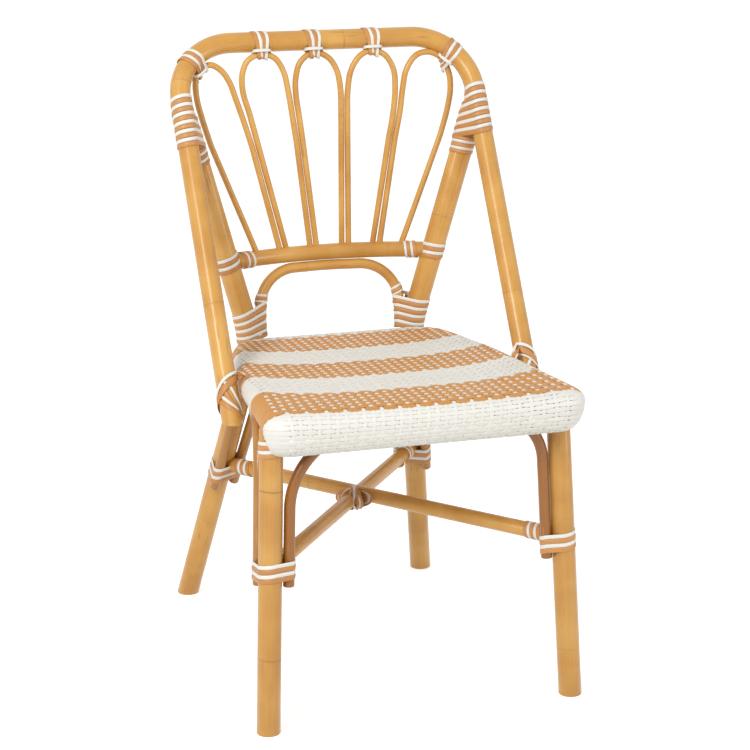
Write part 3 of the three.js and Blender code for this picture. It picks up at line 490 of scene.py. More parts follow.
# Front legs
# Straight cane poles that lean in and back a little. Their tops are hollowed to sit under the side
# rails, where each is screwed and bound.
front_foot = np.array([222.5, -276, 0])
seat_front_y, seat_waist_y, seat_rear_y = -290.6, -40, 112.4
seat_front_x, seat_waist_x, seat_rear_x = 209, 182, 148
front_corner_r, waist_r, rear_corner_r = 18, 260, 44
front_butt_x, rear_butt_x = seat_front_x - 59, seat_rear_x - 64
front_leg_top = np.array([204.796, -247.5, seat_rail_z])
seat_rail_r, leg_bite = 16.5, 0.75


def side_rail_line(side):
    plan = ((front_butt_x, seat_front_y), (seat_front_x, seat_front_y),
            (seat_waist_x, seat_waist_y), (seat_rear_x, seat_rear_y),
            (rear_butt_x, seat_rear_y))
    corners = [(x, y, seat_rail_z) for x, y in plan]
    return bent(mirrored(corners, side), [front_corner_r, waist_r, rear_corner_r])


leg_scars = {"left": ((106, 0.4), (340, 0.6)), "right": ((70, 0.2), (262, 0.25))}
leg_end = at_height(front_foot, front_leg_top, seat_rail_z - leg_bite * seat_rail_r)
for hand, side in both_sides:
    leg_line = mirrored([front_foot, leg_end], side)
    # The legs take a little painted shade.
    leg = pole_mesh(f"front_leg_{hand}_cane", leg_line, front_leg_r, leg_scars[hand],
                    (0, "coped"), ((), ((side_rail_line(side), seat_rail_r),)), piece_shade=0.2)
    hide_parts(f"front_leg_{hand}")

# Wood screws
# Six steel screws hold the poles together under the bindings. They keep their turned shapes from
# the frame and get a zinc plated steel.


def screw_material():
    material, tree = new_material("zinc plated steel")
    where = node(tree, "ShaderNodeTexCoord")
    mottle = node(tree, "ShaderNodeTexNoise", Vector=where.outputs["Object"], Scale=900.0,
                  Detail=2.0)
    tone = ramp(tree, mottle.outputs[0],
                [(0.3, (0.42, 0.43, 0.45, 1)), (0.7, (0.62, 0.63, 0.64, 1))])
    wear = node(tree, "ShaderNodeMapRange", Value=mottle.outputs[0], To_Min=0.28, To_Max=0.48)
    metal = node(tree, "ShaderNodeBsdfPrincipled", Base_Color=tone, Roughness=wear.outputs[0],
                 Metallic=1.0)
    node(tree, "ShaderNodeOutputMaterial", Surface=metal.outputs[0])
    return material


screw_steel = screw_material()
for hand, side in both_sides:
    for kind in ("back_post_screw", "hoop_screw", "front_leg_screw"):
        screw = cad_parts[f"{kind}_{hand}"]
        screw.data.materials.clear()
        screw.data.materials.append(screw_steel)

# Seat rails
# Four cane poles make the seat's frame under the weave, the side ones bent round the corners and
# butted to the front and rear ones. A thinner rail across behind the front legs carries the arch.
cross_rail_z, cross_rail_r, cross_rail_y = seat_rail_z - 4.2, 12.5, -250.5
cross_rail_end = 195.996
rail_sides = 24


def level_run(end_x, y, z):
    return np.array([(-end_x, y, z), (end_x, y, z)], float)


for hand, side in both_sides:
    rail = pole_mesh(f"seat_side_rail_{hand}_cane", side_rail_line(side), seat_rail_r,
                     ((180, 0.4), (380, 0.4)), sides=rail_sides)
    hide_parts(f"seat_side_rail_{hand}")
for part, butt_x, y in (("front", front_butt_x, seat_front_y), ("rear", rear_butt_x, seat_rear_y)):
    rail = pole_mesh(f"seat_{part}_rail_cane", level_run(butt_x - fit, y, seat_rail_z), seat_rail_r,
                     ((90, 0.4),), sides=rail_sides)
    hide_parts(f"seat_{part}_rail")
front_leg_axes = {side: mirrored([front_foot, front_leg_top], side) for _, side in both_sides}
rail_stops = [((side_rail_line(side), seat_rail_r), (front_leg_axes[side], front_leg_r))
              for side in (-1, 1)]
cross_rail_line = level_run(cross_rail_end, cross_rail_y, cross_rail_z)
# The cross rail lies under the seat and takes a half share of painted shade.
cross_rail = pole_mesh("seat_cross_rail_cane", cross_rail_line, cross_rail_r,
                       ((150, 0.5), (290, 0.5)), ("coped", "coped"), rail_stops, piece_shade=0.5)
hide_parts("seat_cross_rail")

# Back rail and the five loops
# The back rail is a pole bowed backwards between the posts. Five thin rods are bent over by hand
# into tall loops; their feet are let into holes in the rail, and their crowns are tied to the hoop.
back_rail_z, back_rail_r, back_rail_bow = 567, 12, 35
loop_r, loop_foot_depth, loop_y = 4.6, 7, hoop_top_y - 10.3
back_rail_end = at_height(post_bend, post_top, back_rail_z)
curve_steps, loop_steps, bow_marks = 24, 90, 41
loop_foot_shares = ((-0.687, -0.45), (-0.382, -0.146), (-0.082, 0.162), (0.228, 0.451),
                    (0.517, 0.712))
loop_head_shares = (
    ((-0.766, 0.53), (-0.819, 0.65), (-0.856, 0.756), (-0.858, 0.844),
     (-0.823, 0.888), (-0.761, 0.906), (-0.693, 0.88), (-0.638, 0.825),
     (-0.599, 0.75), (-0.546, 0.64), (-0.493, 0.521)),
    ((-0.447, 0.515), (-0.504, 0.669), (-0.548, 0.778), (-0.55, 0.857),
     (-0.511, 0.92), (-0.418, 0.947), (-0.33, 0.926), (-0.273, 0.863),
     (-0.242, 0.769), (-0.213, 0.643), (-0.187, 0.521)),
    ((-0.143, 0.515), (-0.169, 0.65), (-0.189, 0.747), (-0.191, 0.825),
     (-0.158, 0.904), (-0.066, 0.947), (0.031, 0.921), (0.088, 0.863),
     (0.114, 0.778), (0.119, 0.659), (0.119, 0.521)),
    ((0.163, 0.521), (0.163, 0.65), (0.165, 0.756), (0.189, 0.857),
     (0.251, 0.923), (0.339, 0.947), (0.427, 0.92), (0.484, 0.851),
     (0.495, 0.769), (0.482, 0.65), (0.449, 0.521)),
    ((0.493, 0.521), (0.53, 0.659), (0.548, 0.763), (0.574, 0.851),
     (0.643, 0.917), (0.735, 0.929), (0.819, 0.898), (0.871, 0.832),
     (0.885, 0.756), (0.863, 0.653), (0.814, 0.53)))


def back_rail_point(x):
    share = x / back_rail_end[0]
    return np.array([x, back_rail_end[1] + back_rail_bow * (1 - share * share), back_rail_z])


def blend(a, b, low, high, t):
    return (high - t) / (high - low) * a + (t - low) / (high - low) * b


def through_points(points, steps):
    """A smooth curve through the points, with steps of even length."""
    points = np.asarray(points, float)
    padded = np.vstack([2 * points[0] - points[1], points, 2 * points[-1] - points[-2]])
    fine = []
    for p0, p1, p2, p3 in zip(padded, padded[1:], padded[2:], padded[3:]):
        gaps = [math.sqrt(np.linalg.norm(b - a)) for a, b in ((p0, p1), (p1, p2), (p2, p3))]
        t0, t1, t2, t3 = np.cumsum([0] + gaps)
        t = np.linspace(t1, t2, curve_steps, endpoint=False)[:, None]
        first, middle = blend(p0, p1, t0, t1, t), blend(p1, p2, t1, t2, t)
        last = blend(p2, p3, t2, t3, t)
        early, late = blend(first, middle, t0, t2, t), blend(middle, last, t1, t3, t)
        fine.append(blend(early, late, t1, t2, t))
    fine = np.vstack(fine + [points[-1:]])
    return along(fine, np.linspace(0, lengths_along(fine)[-1], steps + 1))


def loop_line(i):
    rise = hoop_top_z - back_rail_z
    heads = [(x * hoop_shoulder_x, loop_y, back_rail_z + z * rise) for x, z in loop_head_shares[i]]
    feet = [back_rail_point(share * back_rail_end[0]) + (0, 0, back_rail_r - loop_foot_depth)
            for share in loop_foot_shares[i]]
    return np.vstack([feet[:1], through_points(heads, loop_steps), feet[1:]])


back_rail_line = np.array([back_rail_point(back_rail_end[0] * share)
                           for share in np.linspace(-1, 1, bow_marks)])
post_stops = [((post_line(side), back_post_r),) for side in (-1, 1)]
# The back rail takes a little painted shade.
back_rail = pole_mesh("back_rail_cane", back_rail_line, back_rail_r, ((262, 0.3),),
                      ("coped", "coped"), post_stops, piece_shade=0.14)
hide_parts("back_rail")
loop_lines = [loop_line(i) for i in range(5)]
for i, line in enumerate(loop_lines):
    loop = pole_mesh(f"back_loop_{i + 1}_cane", line, loop_r,
                     ((150 + 37 * i, 0.22), (470 - 21 * i, 0.18)), sides=16)
    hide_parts(f"back_loop_{i + 1}")

# Arches
# Thin cane rods bent to stiffen the corners: one under the back rail, one under the seat's cross
# rail, one behind the seat and one under each side. Their ends lie along the legs and are bound
# to them.
arch_r = 8
tie_z, rear_tie_z = 226.8, 232
arch_foot_z, front_arch_foot_z = tie_z - 25.8, tie_z - 23.8
foot_paring, foot_pared = 34, 4.2
post_foot_tie_z = seat_rail_z + 15.8
leg_lean = math.hypot(rear_foot[1] - post_bend[1], seat_rail_z) / seat_rail_z
beside_post = (back_post_r + arch_r) * leg_lean + fit
beside_leg = (front_leg_r + arch_r) * leg_lean + fit
skin_roll = 19.8
rear_arch_y = seat_rear_y + 26.6
back_arch_top, front_arch_top, low_arch_top = (rail_under - arch_r - fit for rail_under in (
    back_rail_z - back_rail_r, cross_rail_z - cross_rail_r, seat_rail_z - skin_roll))
side_arch_turn = math.radians(68)
back_arch_bends, front_arch_bends = [60, 180, 60], [106, 68]
rear_arch_bends, side_arch_bends = [60, 60], [72, 72]


def arch_line(low, high, foot_z, top_z, beside, top_y, radii, middle=()):
    """An arch from side to side: its ends stand beside two poles and its top runs level."""
    foot, top = at_height(low, high, foot_z), at_height(low, high, top_z)
    half = [(foot[0] - beside, foot[1], foot_z), (top[0] - beside, top_y, top_z)]
    return bent([(-x, y, z) for x, y, z in half] + list(middle) + half[::-1], radii)


def side_arch_line(side):
    away = np.array([math.cos(side_arch_turn), math.sin(side_arch_turn), 0])
    front = [at_height(front_foot, front_leg_top, z) + beside_leg * away
             for z in (arch_foot_z, low_arch_top)]
    rear = [at_height(rear_foot, post_bend, z) + beside_post * (away * (1, -1, 1))
            for z in (low_arch_top, arch_foot_z)]
    return bent(mirrored(front + rear, side), side_arch_bends)


back_arch_crown = (0, back_rail_point(0)[1], back_arch_top)
back_arch_y = (at_height(post_bend, post_top, back_arch_top)[1] + back_arch_crown[1]) / 2
back_arch_line = arch_line(post_bend, post_top, post_foot_tie_z, back_arch_top, beside_post,
                           back_arch_y, back_arch_bends, [back_arch_crown])
front_arch_line = arch_line(front_foot, front_leg_top, front_arch_foot_z, front_arch_top,
                            beside_leg, cross_rail_y, front_arch_bends)
rear_arch_line = arch_line(rear_foot, post_bend, arch_foot_z, low_arch_top, beside_post,
                           rear_arch_y, rear_arch_bends)
# The last number of each arch is its share of painted shade, most for the arches under the seat.
arches = [("back_arch", back_arch_line, 150, 0.08), ("front_arch", front_arch_line, 470, 0.95),
          ("rear_arch", rear_arch_line, 380, 0.6), ("side_arch_left", side_arch_line(-1), 260, 0.6),
          ("side_arch_right", side_arch_line(1), 180, 0.6)]
for name, line, scar, piece_shade in arches:
    arch = pole_mesh(f"{name}_cane", line, arch_r, ((scar, 0.3),), sides=22, piece_shade=piece_shade,
                     paring=foot_paring if name == "back_arch" else 0)
    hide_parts(name)

# Stretchers
# Two cane poles cross between opposite legs. Where they meet each is cut half way through, and a
# strip binding holds the joint shut.
stretcher_r, stretcher_rear_z, stretcher_front_z = 11, 236, 230


def stretcher_line(side):
    rear = at_height(rear_foot, post_bend, stretcher_rear_z)
    front = at_height(front_foot, front_leg_top, stretcher_front_z)
    return np.array([mirrored(rear, side), mirrored(front, -side)])


stretcher_lines = {hand: stretcher_line(side) for hand, side in both_sides}
stretcher_scars = {"left": ((172, 0.9),), "right": ((148, 0.3), (452, 0.2))}
for hand, side in both_sides:
    rear_stops = ((post_line(side), back_post_r), (rear_arch_line, arch_r),
                  (side_arch_line(side), arch_r))
    front_stops = ((front_leg_axes[-side], front_leg_r), (front_arch_line, arch_r),
                   (side_arch_line(-side), arch_r))
    stretcher = pole_mesh(f"stretcher_from_rear_{hand}_cane", stretcher_lines[hand], stretcher_r,
                          stretcher_scars[hand], ("coped", "coped"), (rear_stops, front_stops))
    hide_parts(f"stretcher_from_rear_{hand}")

# Woven seat
# Flat strips of plastic-coated cane in plain weave, pulled tight over the four rails and rolled
# round them. White strips run front to back; the ones across are white with three tan bands.
warp_half, strip_thick, weave_lift = 2.95, 0.95, 0.42
skin_inset = 1.2
nose_out, nose_drop, seat_dip = 27.2, 42.5, 3.0
row_marks_at = ((-14, 190.8), (0, 104), (12, 29), (23, -48), (35, -129), (46, -210), (58, -305.8),
                (75, -407))
row_bows_at = ((-14, 0), (0, 2), (12, 18), (23, 27), (35, 31), (46, 28), (58, 12), (66, 0), (75, 0))
bow_power = 2.75
warp_places_at = ((-17, -200), (-16, -187.5), (-8, -88.6), (-4, -37.9), (0, 13), (4, 63.6),
                  (8, 115.6), (12, 170.4), (14, 199.5))
front_flare, rear_taper, roll_marks = 0.1077, 0.22, 220
roll_turn, nose_facing, dip_reach = math.radians(262), 0.6, 120


def weave_outline(steps=1400):
    right, left = side_rail_line(1), side_rail_line(-1)[::-1]
    ring = np.vstack([right, left, right[:1]]) * (1, 1, 0)
    return along(ring, np.linspace(0, lengths_along(ring)[-1], steps, endpoint=False))[:, :2]


rim = weave_outline()
rim_way = np.roll(rim, -1, axis=0) - np.roll(rim, 1, axis=0)
rim_out = unit_rows(np.stack([rim_way[:, 1], -rim_way[:, 0]], axis=1))
rim_out *= np.sign((rim_out * (rim - rim.mean(axis=0))).sum(axis=1))[:, None]
beside_corners = ((rim[:, 1] > seat_front_y + front_corner_r)
                  & (rim[:, 1] < seat_rear_y - rear_corner_r))
right_rim = rim[beside_corners & (rim[:, 0] > 0)]
right_rim = right_rim[np.argsort(right_rim[:, 1])]


def rail_x(y):
    low, high = right_rim[0], right_rim[-1]
    inside = np.interp(y, right_rim[:, 1], right_rim[:, 0])
    front = low[0] + (low[1] - y) * front_flare
    rear = high[0] - (y - high[1]) * rear_taper
    return np.where(y < low[1], np.minimum(front, seat_front_x),
                    np.where(y > high[1], rear, inside))


def roll_tables(steps=40):
    """For nose shares from 0 to 1: how the arc length round the roll turns into an angle."""
    angles = np.linspace(0, roll_turn, roll_marks)
    tables = []
    for share in np.linspace(0, 1, steps + 1):
        x, z = roll_section(angles, np.full_like(angles, share))
        tables.append(lengths_along(np.stack([x, z], axis=1)))
    return angles, np.array(tables)


def roll_section(angle, share):
    """Out from the rail's centre and up from it, for an angle from the top round and under."""
    out = skin_roll + (nose_out - skin_roll) * share - skin_inset
    below = skin_roll + (nose_drop - skin_roll) * share - skin_inset
    above = skin_roll - skin_inset
    under = np.clip((angle - math.pi) / (math.pi / 2), 0, 1)
    tall = np.where(angle < math.pi / 2, above, below)
    wide = np.where(angle < math.pi, out, above + (out - above) * (1 - under))
    return wide * np.sin(angle), tall * np.cos(angle)


roll_angles, roll_lengths = roll_tables()


def smooth_share(value, low, high):
    t = np.clip((value - low) / (high - low), 0, 1)
    return t * t * (3 - 2 * t)


def from_rim(flat):
    """For flat cloth points: the rim point nearest to each, the way out there, how far out the
    point lies, and how much of the nose's roll is there."""
    nearest = ((flat[:, None] - rim[None]) ** 2).sum(axis=2).argmin(axis=1)
    foot, out = rim[nearest], rim_out[nearest]
    return foot, out, ((flat - foot) * out).sum(axis=1), smooth_share(-out[:, 1], 0, nose_facing)


def on_seat(x, y):
    """Lays flat cloth points on the seat: over the top inside the rails, then round the roll."""
    flat = np.stack([x, y], axis=1)
    foot, out, reach, share = from_rim(flat)
    beyond = np.maximum(reach, 0)
    level = np.clip(share * (len(roll_lengths) - 1), 0, len(roll_lengths) - 1.001)
    low = level.astype(int)
    angle = np.zeros(len(flat))
    for k in np.unique(low):
        rows = low == k
        first = np.interp(beyond[rows], roll_lengths[k], roll_angles)
        second = np.interp(beyond[rows], roll_lengths[k + 1], roll_angles)
        angle[rows] = first + (second - first) * (level[rows] - k)
    wide, tall = roll_section(angle, share)
    inside = reach <= 0
    rolled = foot + out * wide[:, None] + (flat - foot - out * reach[:, None])
    plan = np.where(inside[:, None], flat, rolled)
    edge = np.clip(1 + reach / dip_reach, 0, 1)
    top = seat_rail_z + skin_roll - skin_inset - seat_dip * (1 - edge ** 2)
    z = np.where(inside, top, seat_rail_z + tall)
    normal = np.stack([out[:, 0] * np.sin(angle), out[:, 1] * np.sin(angle), np.cos(angle)], axis=1)
    return np.concatenate([plan, z[:, None]], axis=1), normal


def row_line(v, x):
    """How far back a row of the weave lies at x: the rows bow forwards in the middle."""
    middle = np.interp(v, *zip(*row_marks_at))
    bow = np.interp(v, *zip(*row_bows_at))
    edge = rail_x(middle + bow)
    return middle + bow * np.clip(np.abs(x) / edge, 0, 1) ** bow_power


warp_numbers, warp_spacing = np.arange(-18, 16), (12.6, 12.7)
warp_bow, bow_half, bow_middle = 0.000175, 127, -83
nose_splay, splay_from, splay_run = 0.1, -200, 90
follow_from, follow_full = 120, 190
wave_steep, edge_over = 1.5, 1
late_start, late_from, late_full = 8, -160, -100


def warp_x(k, y):
    """Where strip k of the front-to-back ones lies at depth y: a slight common bow, and a splay
    at the nose."""
    numbers, places = zip(*warp_places_at)
    place = np.interp(k, numbers, places) + np.minimum(k - numbers[0], 0) * warp_spacing[0]
    place = place + np.maximum(k - numbers[-1], 0) * warp_spacing[1]
    follow = smooth_share(np.abs(place), follow_from, follow_full)
    bow = warp_bow * (bow_half ** 2 - (y - bow_middle) ** 2)
    splay = np.sign(place) * follow * nose_splay * np.clip(splay_from - y, 0, splay_run)
    return place + bow * (1 - follow) + splay


def wave(t):
    """From +1 over a strip to -1 under the next, flat on top and quick between."""
    return np.clip(wave_steep * np.cos(math.pi * t), -1, 1)


def warp_reach(y):
    """The front-to-back strips keep to the top, and from the middle band on they start further
    round the side roll."""
    edge = rail_x(np.clip(y, seat_front_y, seat_rear_y)) + edge_over
    return edge + late_start * smooth_share(y, late_from, late_full)


corner_x, corner_y = seat_front_x - front_corner_r, seat_front_y + front_corner_r
nose_row, nose_turn, warp_overrun = 58, 40, 8
row_tuck, end_tuck = 0.06, 0.11
weft_overrun, outer_lift = 3, 0.2
nose_edge = corner_y - float(row_line(nose_row, np.array(float(corner_x))))


def nose_line(row, x):
    """A row of the nose as flat points: straight across, then round each corner at an even reach,
    up to the edge of the last tan row."""
    inner = np.clip(x, -corner_x, corner_x)
    y = row_line(row, inner)
    reach = np.maximum(corner_y - y, nose_edge)
    farthest = np.arccos(nose_edge / reach) + row_tuck
    turn = np.minimum((np.abs(x) - np.abs(inner)) / nose_turn, farthest)
    turned_y = np.where(turn > 0, corner_y - reach * np.cos(turn), y)
    return inner + np.sign(x) * reach * np.sin(turn), turned_y


def nose_end(row, x):
    """Where a nose row still shows, up to just under the edge of the last tan row."""
    reach = corner_y - float(row_line(row + 0.5, np.array(float(corner_x))))
    return (np.abs(x) - corner_x) / nose_turn < math.acos(min(1, nose_edge / reach)) + end_tuck


def weft_height(row, x, y):
    """Over an even crossing and under an odd one, and flat outside the last front-to-back strip."""
    columns = np.array([warp_x(k, y) for k in warp_numbers]).T
    index = np.array([np.interp(place, column, warp_numbers, left=np.nan, right=np.nan)
                      for place, column in zip(x, columns)])
    reach = corner_x + warp_overrun if row >= nose_row else warp_reach(y) + weft_overrun
    return np.where(np.isfinite(index) & (np.abs(x) < reach), wave(index + row), outer_lift)


ribbon_across = np.array([-1, -0.93, -0.55, 0, 0.55, 0.93, 1, 0.9, -0.9])
ribbon_up = np.array([0.35, 0.62, 0.9, 1.0, 0.9, 0.62, 0.35, 0.0, 0.0])
woven_up = np.array([0.5, 0.76, 0.95, 1.0, 0.95, 0.76, 0.5, 0.0, 0.0])


posts_near_seat = [(hoop_line, hoop_r)] + [(post_line(side), back_post_r) for _, side in both_sides]
pole_bite, grain_half, grain_drift, lines_strength = 4, 3, 3, 0.8


def new_store(seed):
    return {"points": [], "faces": [], "places": [], "tones": [], "looks": [],
            "dice": random.Random(seed)}


def keep_strip(store, paint, rows, half, marks, drift):
    """Adds one strip to its store. Its fibres run along it, from their own place in the grain."""
    sides = len(ribbon_across)
    faces = tube_faces(len(rows), sides, len(store["points"]) * sides)
    store["faces"] += faces
    store["looks"] += [paint] * len(faces)
    store["points"] += list(rows)
    cloth = np.empty((len(rows), sides, 3))
    cloth[..., 0] = ribbon_across * half / 1000 + drift
    cloth[..., 1] = ribbon_up / 1000
    cloth[..., 2] = marks[:, None] / 1000
    store["places"].append(cloth.reshape(-1, 3))
    store["tones"].append(np.full(len(rows) * sides, store["dice"].uniform(0, 1)))


def strand(store, left, middle, right, normal, lift):
    """Adds one woven strip from its edge lines and lift, but for what would lie inside a pole."""
    half = np.linalg.norm(right - left, axis=1) / 2
    way = unit_rows(right - left)
    rows = middle[:, None] + way[:, None] * (half[:, None] * ribbon_across)[..., None]
    rise = (lift[:, None] - strip_thick / 2) + strip_thick * woven_up
    rows = rows + normal[:, None] * rise[..., None]
    inside = np.zeros(len(middle), bool)
    for line, radius in posts_near_seat:
        inside |= distance_to(middle, line) < radius - pole_bite
    marks = lengths_along(middle)
    drift = store["dice"].uniform(0, grain_drift)
    breaks = np.flatnonzero(np.diff(np.r_[True, inside, True]))
    for start, stop in breaks.reshape(-1, 2):
        if stop - start > 2:
            keep_strip(store, 0, rows[start:stop], grain_half, marks[start:stop], drift)


def strip_piece(name, store, paints):
    points = np.concatenate(store["points"]).reshape(-1, 3)
    piece = mesh_piece(name, points, store["faces"], paints,
                       {"strip_tone": np.concatenate(store["tones"])},
                       {"strip_place": np.concatenate(store["places"])}, store["looks"])
    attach(piece, "root")
    return piece


def strip_material(name, pale, deep, fibre_dark, gloss_range):
    """Coated cane strip: fine lines along it, a tone for each strip, and a soft sheen."""
    material, tree = new_material(name)
    grain = placed_grain(tree, "strip_place", 1500.0, 30.0)
    tone = node(tree, "ShaderNodeAttribute", {"attribute_name": "strip_tone"})
    own = ramp(tree, tone.outputs["Fac"], [(0.0, deep), (1.0, pale)])
    lines = ramp(tree, grain.outputs["Fibre"], [(0.32, fibre_dark), (0.6, (1, 1, 1, 1))])
    coloured = mixed(tree, lines_strength, own, lines, "MULTIPLY")
    fibre_skin(tree, grain, coloured, gloss_range, 0.2, 0.0004, IOR=1.46)
    return material


white_strip = strip_material("white coated strip", (0.80, 0.79, 0.735, 1), (0.76, 0.745, 0.69, 1),
                             (0.93, 0.925, 0.91, 1), (0.34, 0.5))
tan_strip = strip_material("tan coated strip", (0.62, 0.295, 0.095, 1), (0.54, 0.245, 0.072, 1),
                           (0.80, 0.74, 0.68, 1), (0.34, 0.52))
seat_tan_strip = strip_material("tan seat strip", (0.66, 0.315, 0.078, 1), (0.59, 0.27, 0.06, 1),
                                (0.82, 0.74, 0.64, 1), (0.36, 0.52))


first_row, last_row = -12, 73
bands = (("white_rear", 0), ("tan_1", 12), ("white_middle", 23), ("tan_2", 35), ("white_front", 46),
         ("tan_3", nose_row), ("white_nose", last_row))
row_gap, end_swell, tan_swell, white_swell, dive_narrow = 0.008, 0.08, 0.13, 0.03, 0.13
side_run, nose_run = 74, 96
nose_flat, dive_from = 0.5, 0.88
weft_step, run_spare, tight_half = 2.1, 4, 4


def roll_reach(x, y):
    """How far round its roll a cloth point lies, as a share of the way to the tucked end."""
    _, _, reach, share = from_rim(np.stack([x, y], axis=1))
    return reach / (side_run + (nose_run - side_run) * share)


def weft_rows():
    stores = {name: new_store(seed) for seed, (name, _) in enumerate(bands, 1)}
    for row in range(first_row, last_row):
        name = next(label for label, end in bands if row < end)
        in_nose = row >= nose_row
        middle_y = float(row_line(row + 0.5, np.array(0.0)))
        reach = float(rail_x(np.array(np.clip(middle_y, seat_front_y, seat_rear_y))))
        reach += side_run + run_spare if row < nose_row - 2 else nose_run
        x = np.arange(-reach, reach + 1, weft_step)
        middle_line = row_line(row + 0.5, x)
        tight = smooth_share(np.abs(x) - warp_reach(middle_line), -tight_half, tight_half)
        height = weft_height(row, x, middle_line)
        over_swell = tan_swell if name.startswith("tan") else white_swell
        swell = np.maximum(end_swell * tight, over_swell * np.clip(height, 0, 1)) - row_gap
        swell = swell - dive_narrow * smooth_share(-height, dive_from, 1)
        lift = weave_lift * (nose_flat if in_nose else 1) * height
        lines = [nose_line(row + part, x) if in_nose else (x, row_line(row + part, x))
                 for part in (-swell, 0.5, 1 + swell)]
        keep = (roll_reach(*lines[1]) < 1) & (nose_end(row, x) if in_nose else True)
        (rear, _), (middle, normal), (front, _) = [on_seat(*line) for line in lines]
        strand(stores[name], *(part[keep] for part in (rear, middle, front, normal, lift)))
    return stores


for label, store in weft_rows().items():
    paint = seat_tan_strip if label.startswith("tan") else white_strip
    band = strip_piece(f"seat_across_{label}", store, paint)
    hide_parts("seat_weave")


warp_seed, warp_step, warp_crowding = 9, 0.25, 0.46
warp_rise, nose_rise = 1.4, 0.8
tooth_from, tooth_full, tooth_half = 0.2, 0.5, 0.8


def warp_columns():
    """The front-to-back strips. Over the last tan row they show late and narrow, as short teeth."""
    store = new_store(warp_seed)
    v = np.arange(first_row, last_row + 0.01, warp_step)
    for k in warp_numbers:
        y = row_line(v, np.full_like(v, np.interp(k, *zip(*warp_places_at))))
        x = warp_x(k, y)
        y = row_line(v, x)
        pitch = np.abs(warp_x(k + 0.5, y) - warp_x(k - 0.5, y))
        over = np.mod(np.floor(v) + k, 2) == 1
        rise = np.abs(wave(v - 0.5))
        last_tan = over & (np.floor(v) == nose_row - 1)
        tooth = 2 * smooth_share(np.mod(v, 1), tooth_from, tooth_full) - 1
        rise = np.where(last_tan, np.minimum(rise, tooth), rise)
        half = np.minimum(warp_half, warp_crowding * pitch) * np.where(last_tan, tooth_half, 1)
        taller = np.where(v > nose_row, nose_rise, warp_rise)
        lift = weave_lift * taller * np.where(over, rise, -rise)
        (left, _), (middle, normal), (right, _) = [on_seat(x + shift, y)
                                                   for shift in (-half, 0, half)]
        reach = np.where(v > nose_row, corner_x + warp_overrun, warp_reach(y))
        keep = (roll_reach(x, y) < 1) & (np.abs(x) < reach)
        if keep.sum() > 4:
            strand(store, *(part[keep] for part in (left, middle, right, normal, lift)))
    return store


lengthwise = strip_piece("seat_lengthwise_white", warp_columns(), white_strip)
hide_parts("seat_weave")

# Strip bindings
# Every joint is wound with two flat coated strips side by side, one white and one tan, pulled
# tight and tucked under themselves at the back.
binding_thick, stand_off, tucked_steps = 1.2, 0.15, 5
turn_steps, strip_gap, nudge, far_pole = 44, 0.1, 0.03, 60
WHITE, TAN = 0, 1


def lay_strip(store, paint, centres, ups, half):
    """Lays one flat strip along a path on a surface, with both of its ends tucked in."""
    centres, ups = np.asarray(centres, float), unit_rows(np.asarray(ups, float))
    across = unit_rows(np.cross(np.gradient(centres, axis=0), ups))
    count = len(centres)
    shown = np.clip((1 - np.abs(np.linspace(-1, 1, count))) * count / tucked_steps, 0, 1)
    rise = stand_off + binding_thick * ribbon_up - (1 - shown[:, None]) * binding_thick
    sideways = across[:, None] * (ribbon_across * half)[:, None]
    rows = centres[:, None] + sideways + ups[:, None] * rise[..., None]
    drift = store["dice"].uniform(0, grain_drift)
    keep_strip(store, paint, rows, half, lengths_along(centres), drift)


def binding_piece(name, store):
    return strip_piece(name, store, [white_strip, tan_strip])


def binding_store(name):
    return new_store(sum(map(ord, name)))


def crossing_of(line, radius, origin, facing):
    """Where a pole passes through the winding's plane, nearest to the winding's middle."""
    offsets = (line - origin) @ facing
    best = None
    for i in range(len(line) - 1):
        a, b = offsets[i], offsets[i + 1]
        if a * b > 0 or a == b:
            continue
        share = a / (a - b)
        centre = line[i] + (line[i + 1] - line[i]) * share
        gap = np.linalg.norm(centre - origin)
        if best is None or gap < best[3]:
            here = radius
            if not np.isscalar(radius):
                here = radius[i] + (radius[i + 1] - radius[i]) * share
            best = (centre, unit(line[i + 1] - line[i]), here, gap)
    return best


def bundle_reach(hits, origin, facing, outward, half):
    """How far a bundle of poles stands out in one direction of the winding's plane."""
    reaches = []
    for centre, way, radius in hits:
        lean = min(abs(way @ facing), 1)
        slope = math.sqrt(1 - lean * lean) / lean
        flat = way - facing * (way @ facing)
        turned = abs(outward @ unit(flat)) if np.linalg.norm(flat) > 1e-4 else 0
        long, wide = radius / lean + half * slope, radius
        support = math.hypot(turned * long, math.sqrt(max(0, 1 - turned ** 2)) * wide)
        reaches.append((centre - origin) @ outward + support)
    return max(reaches)


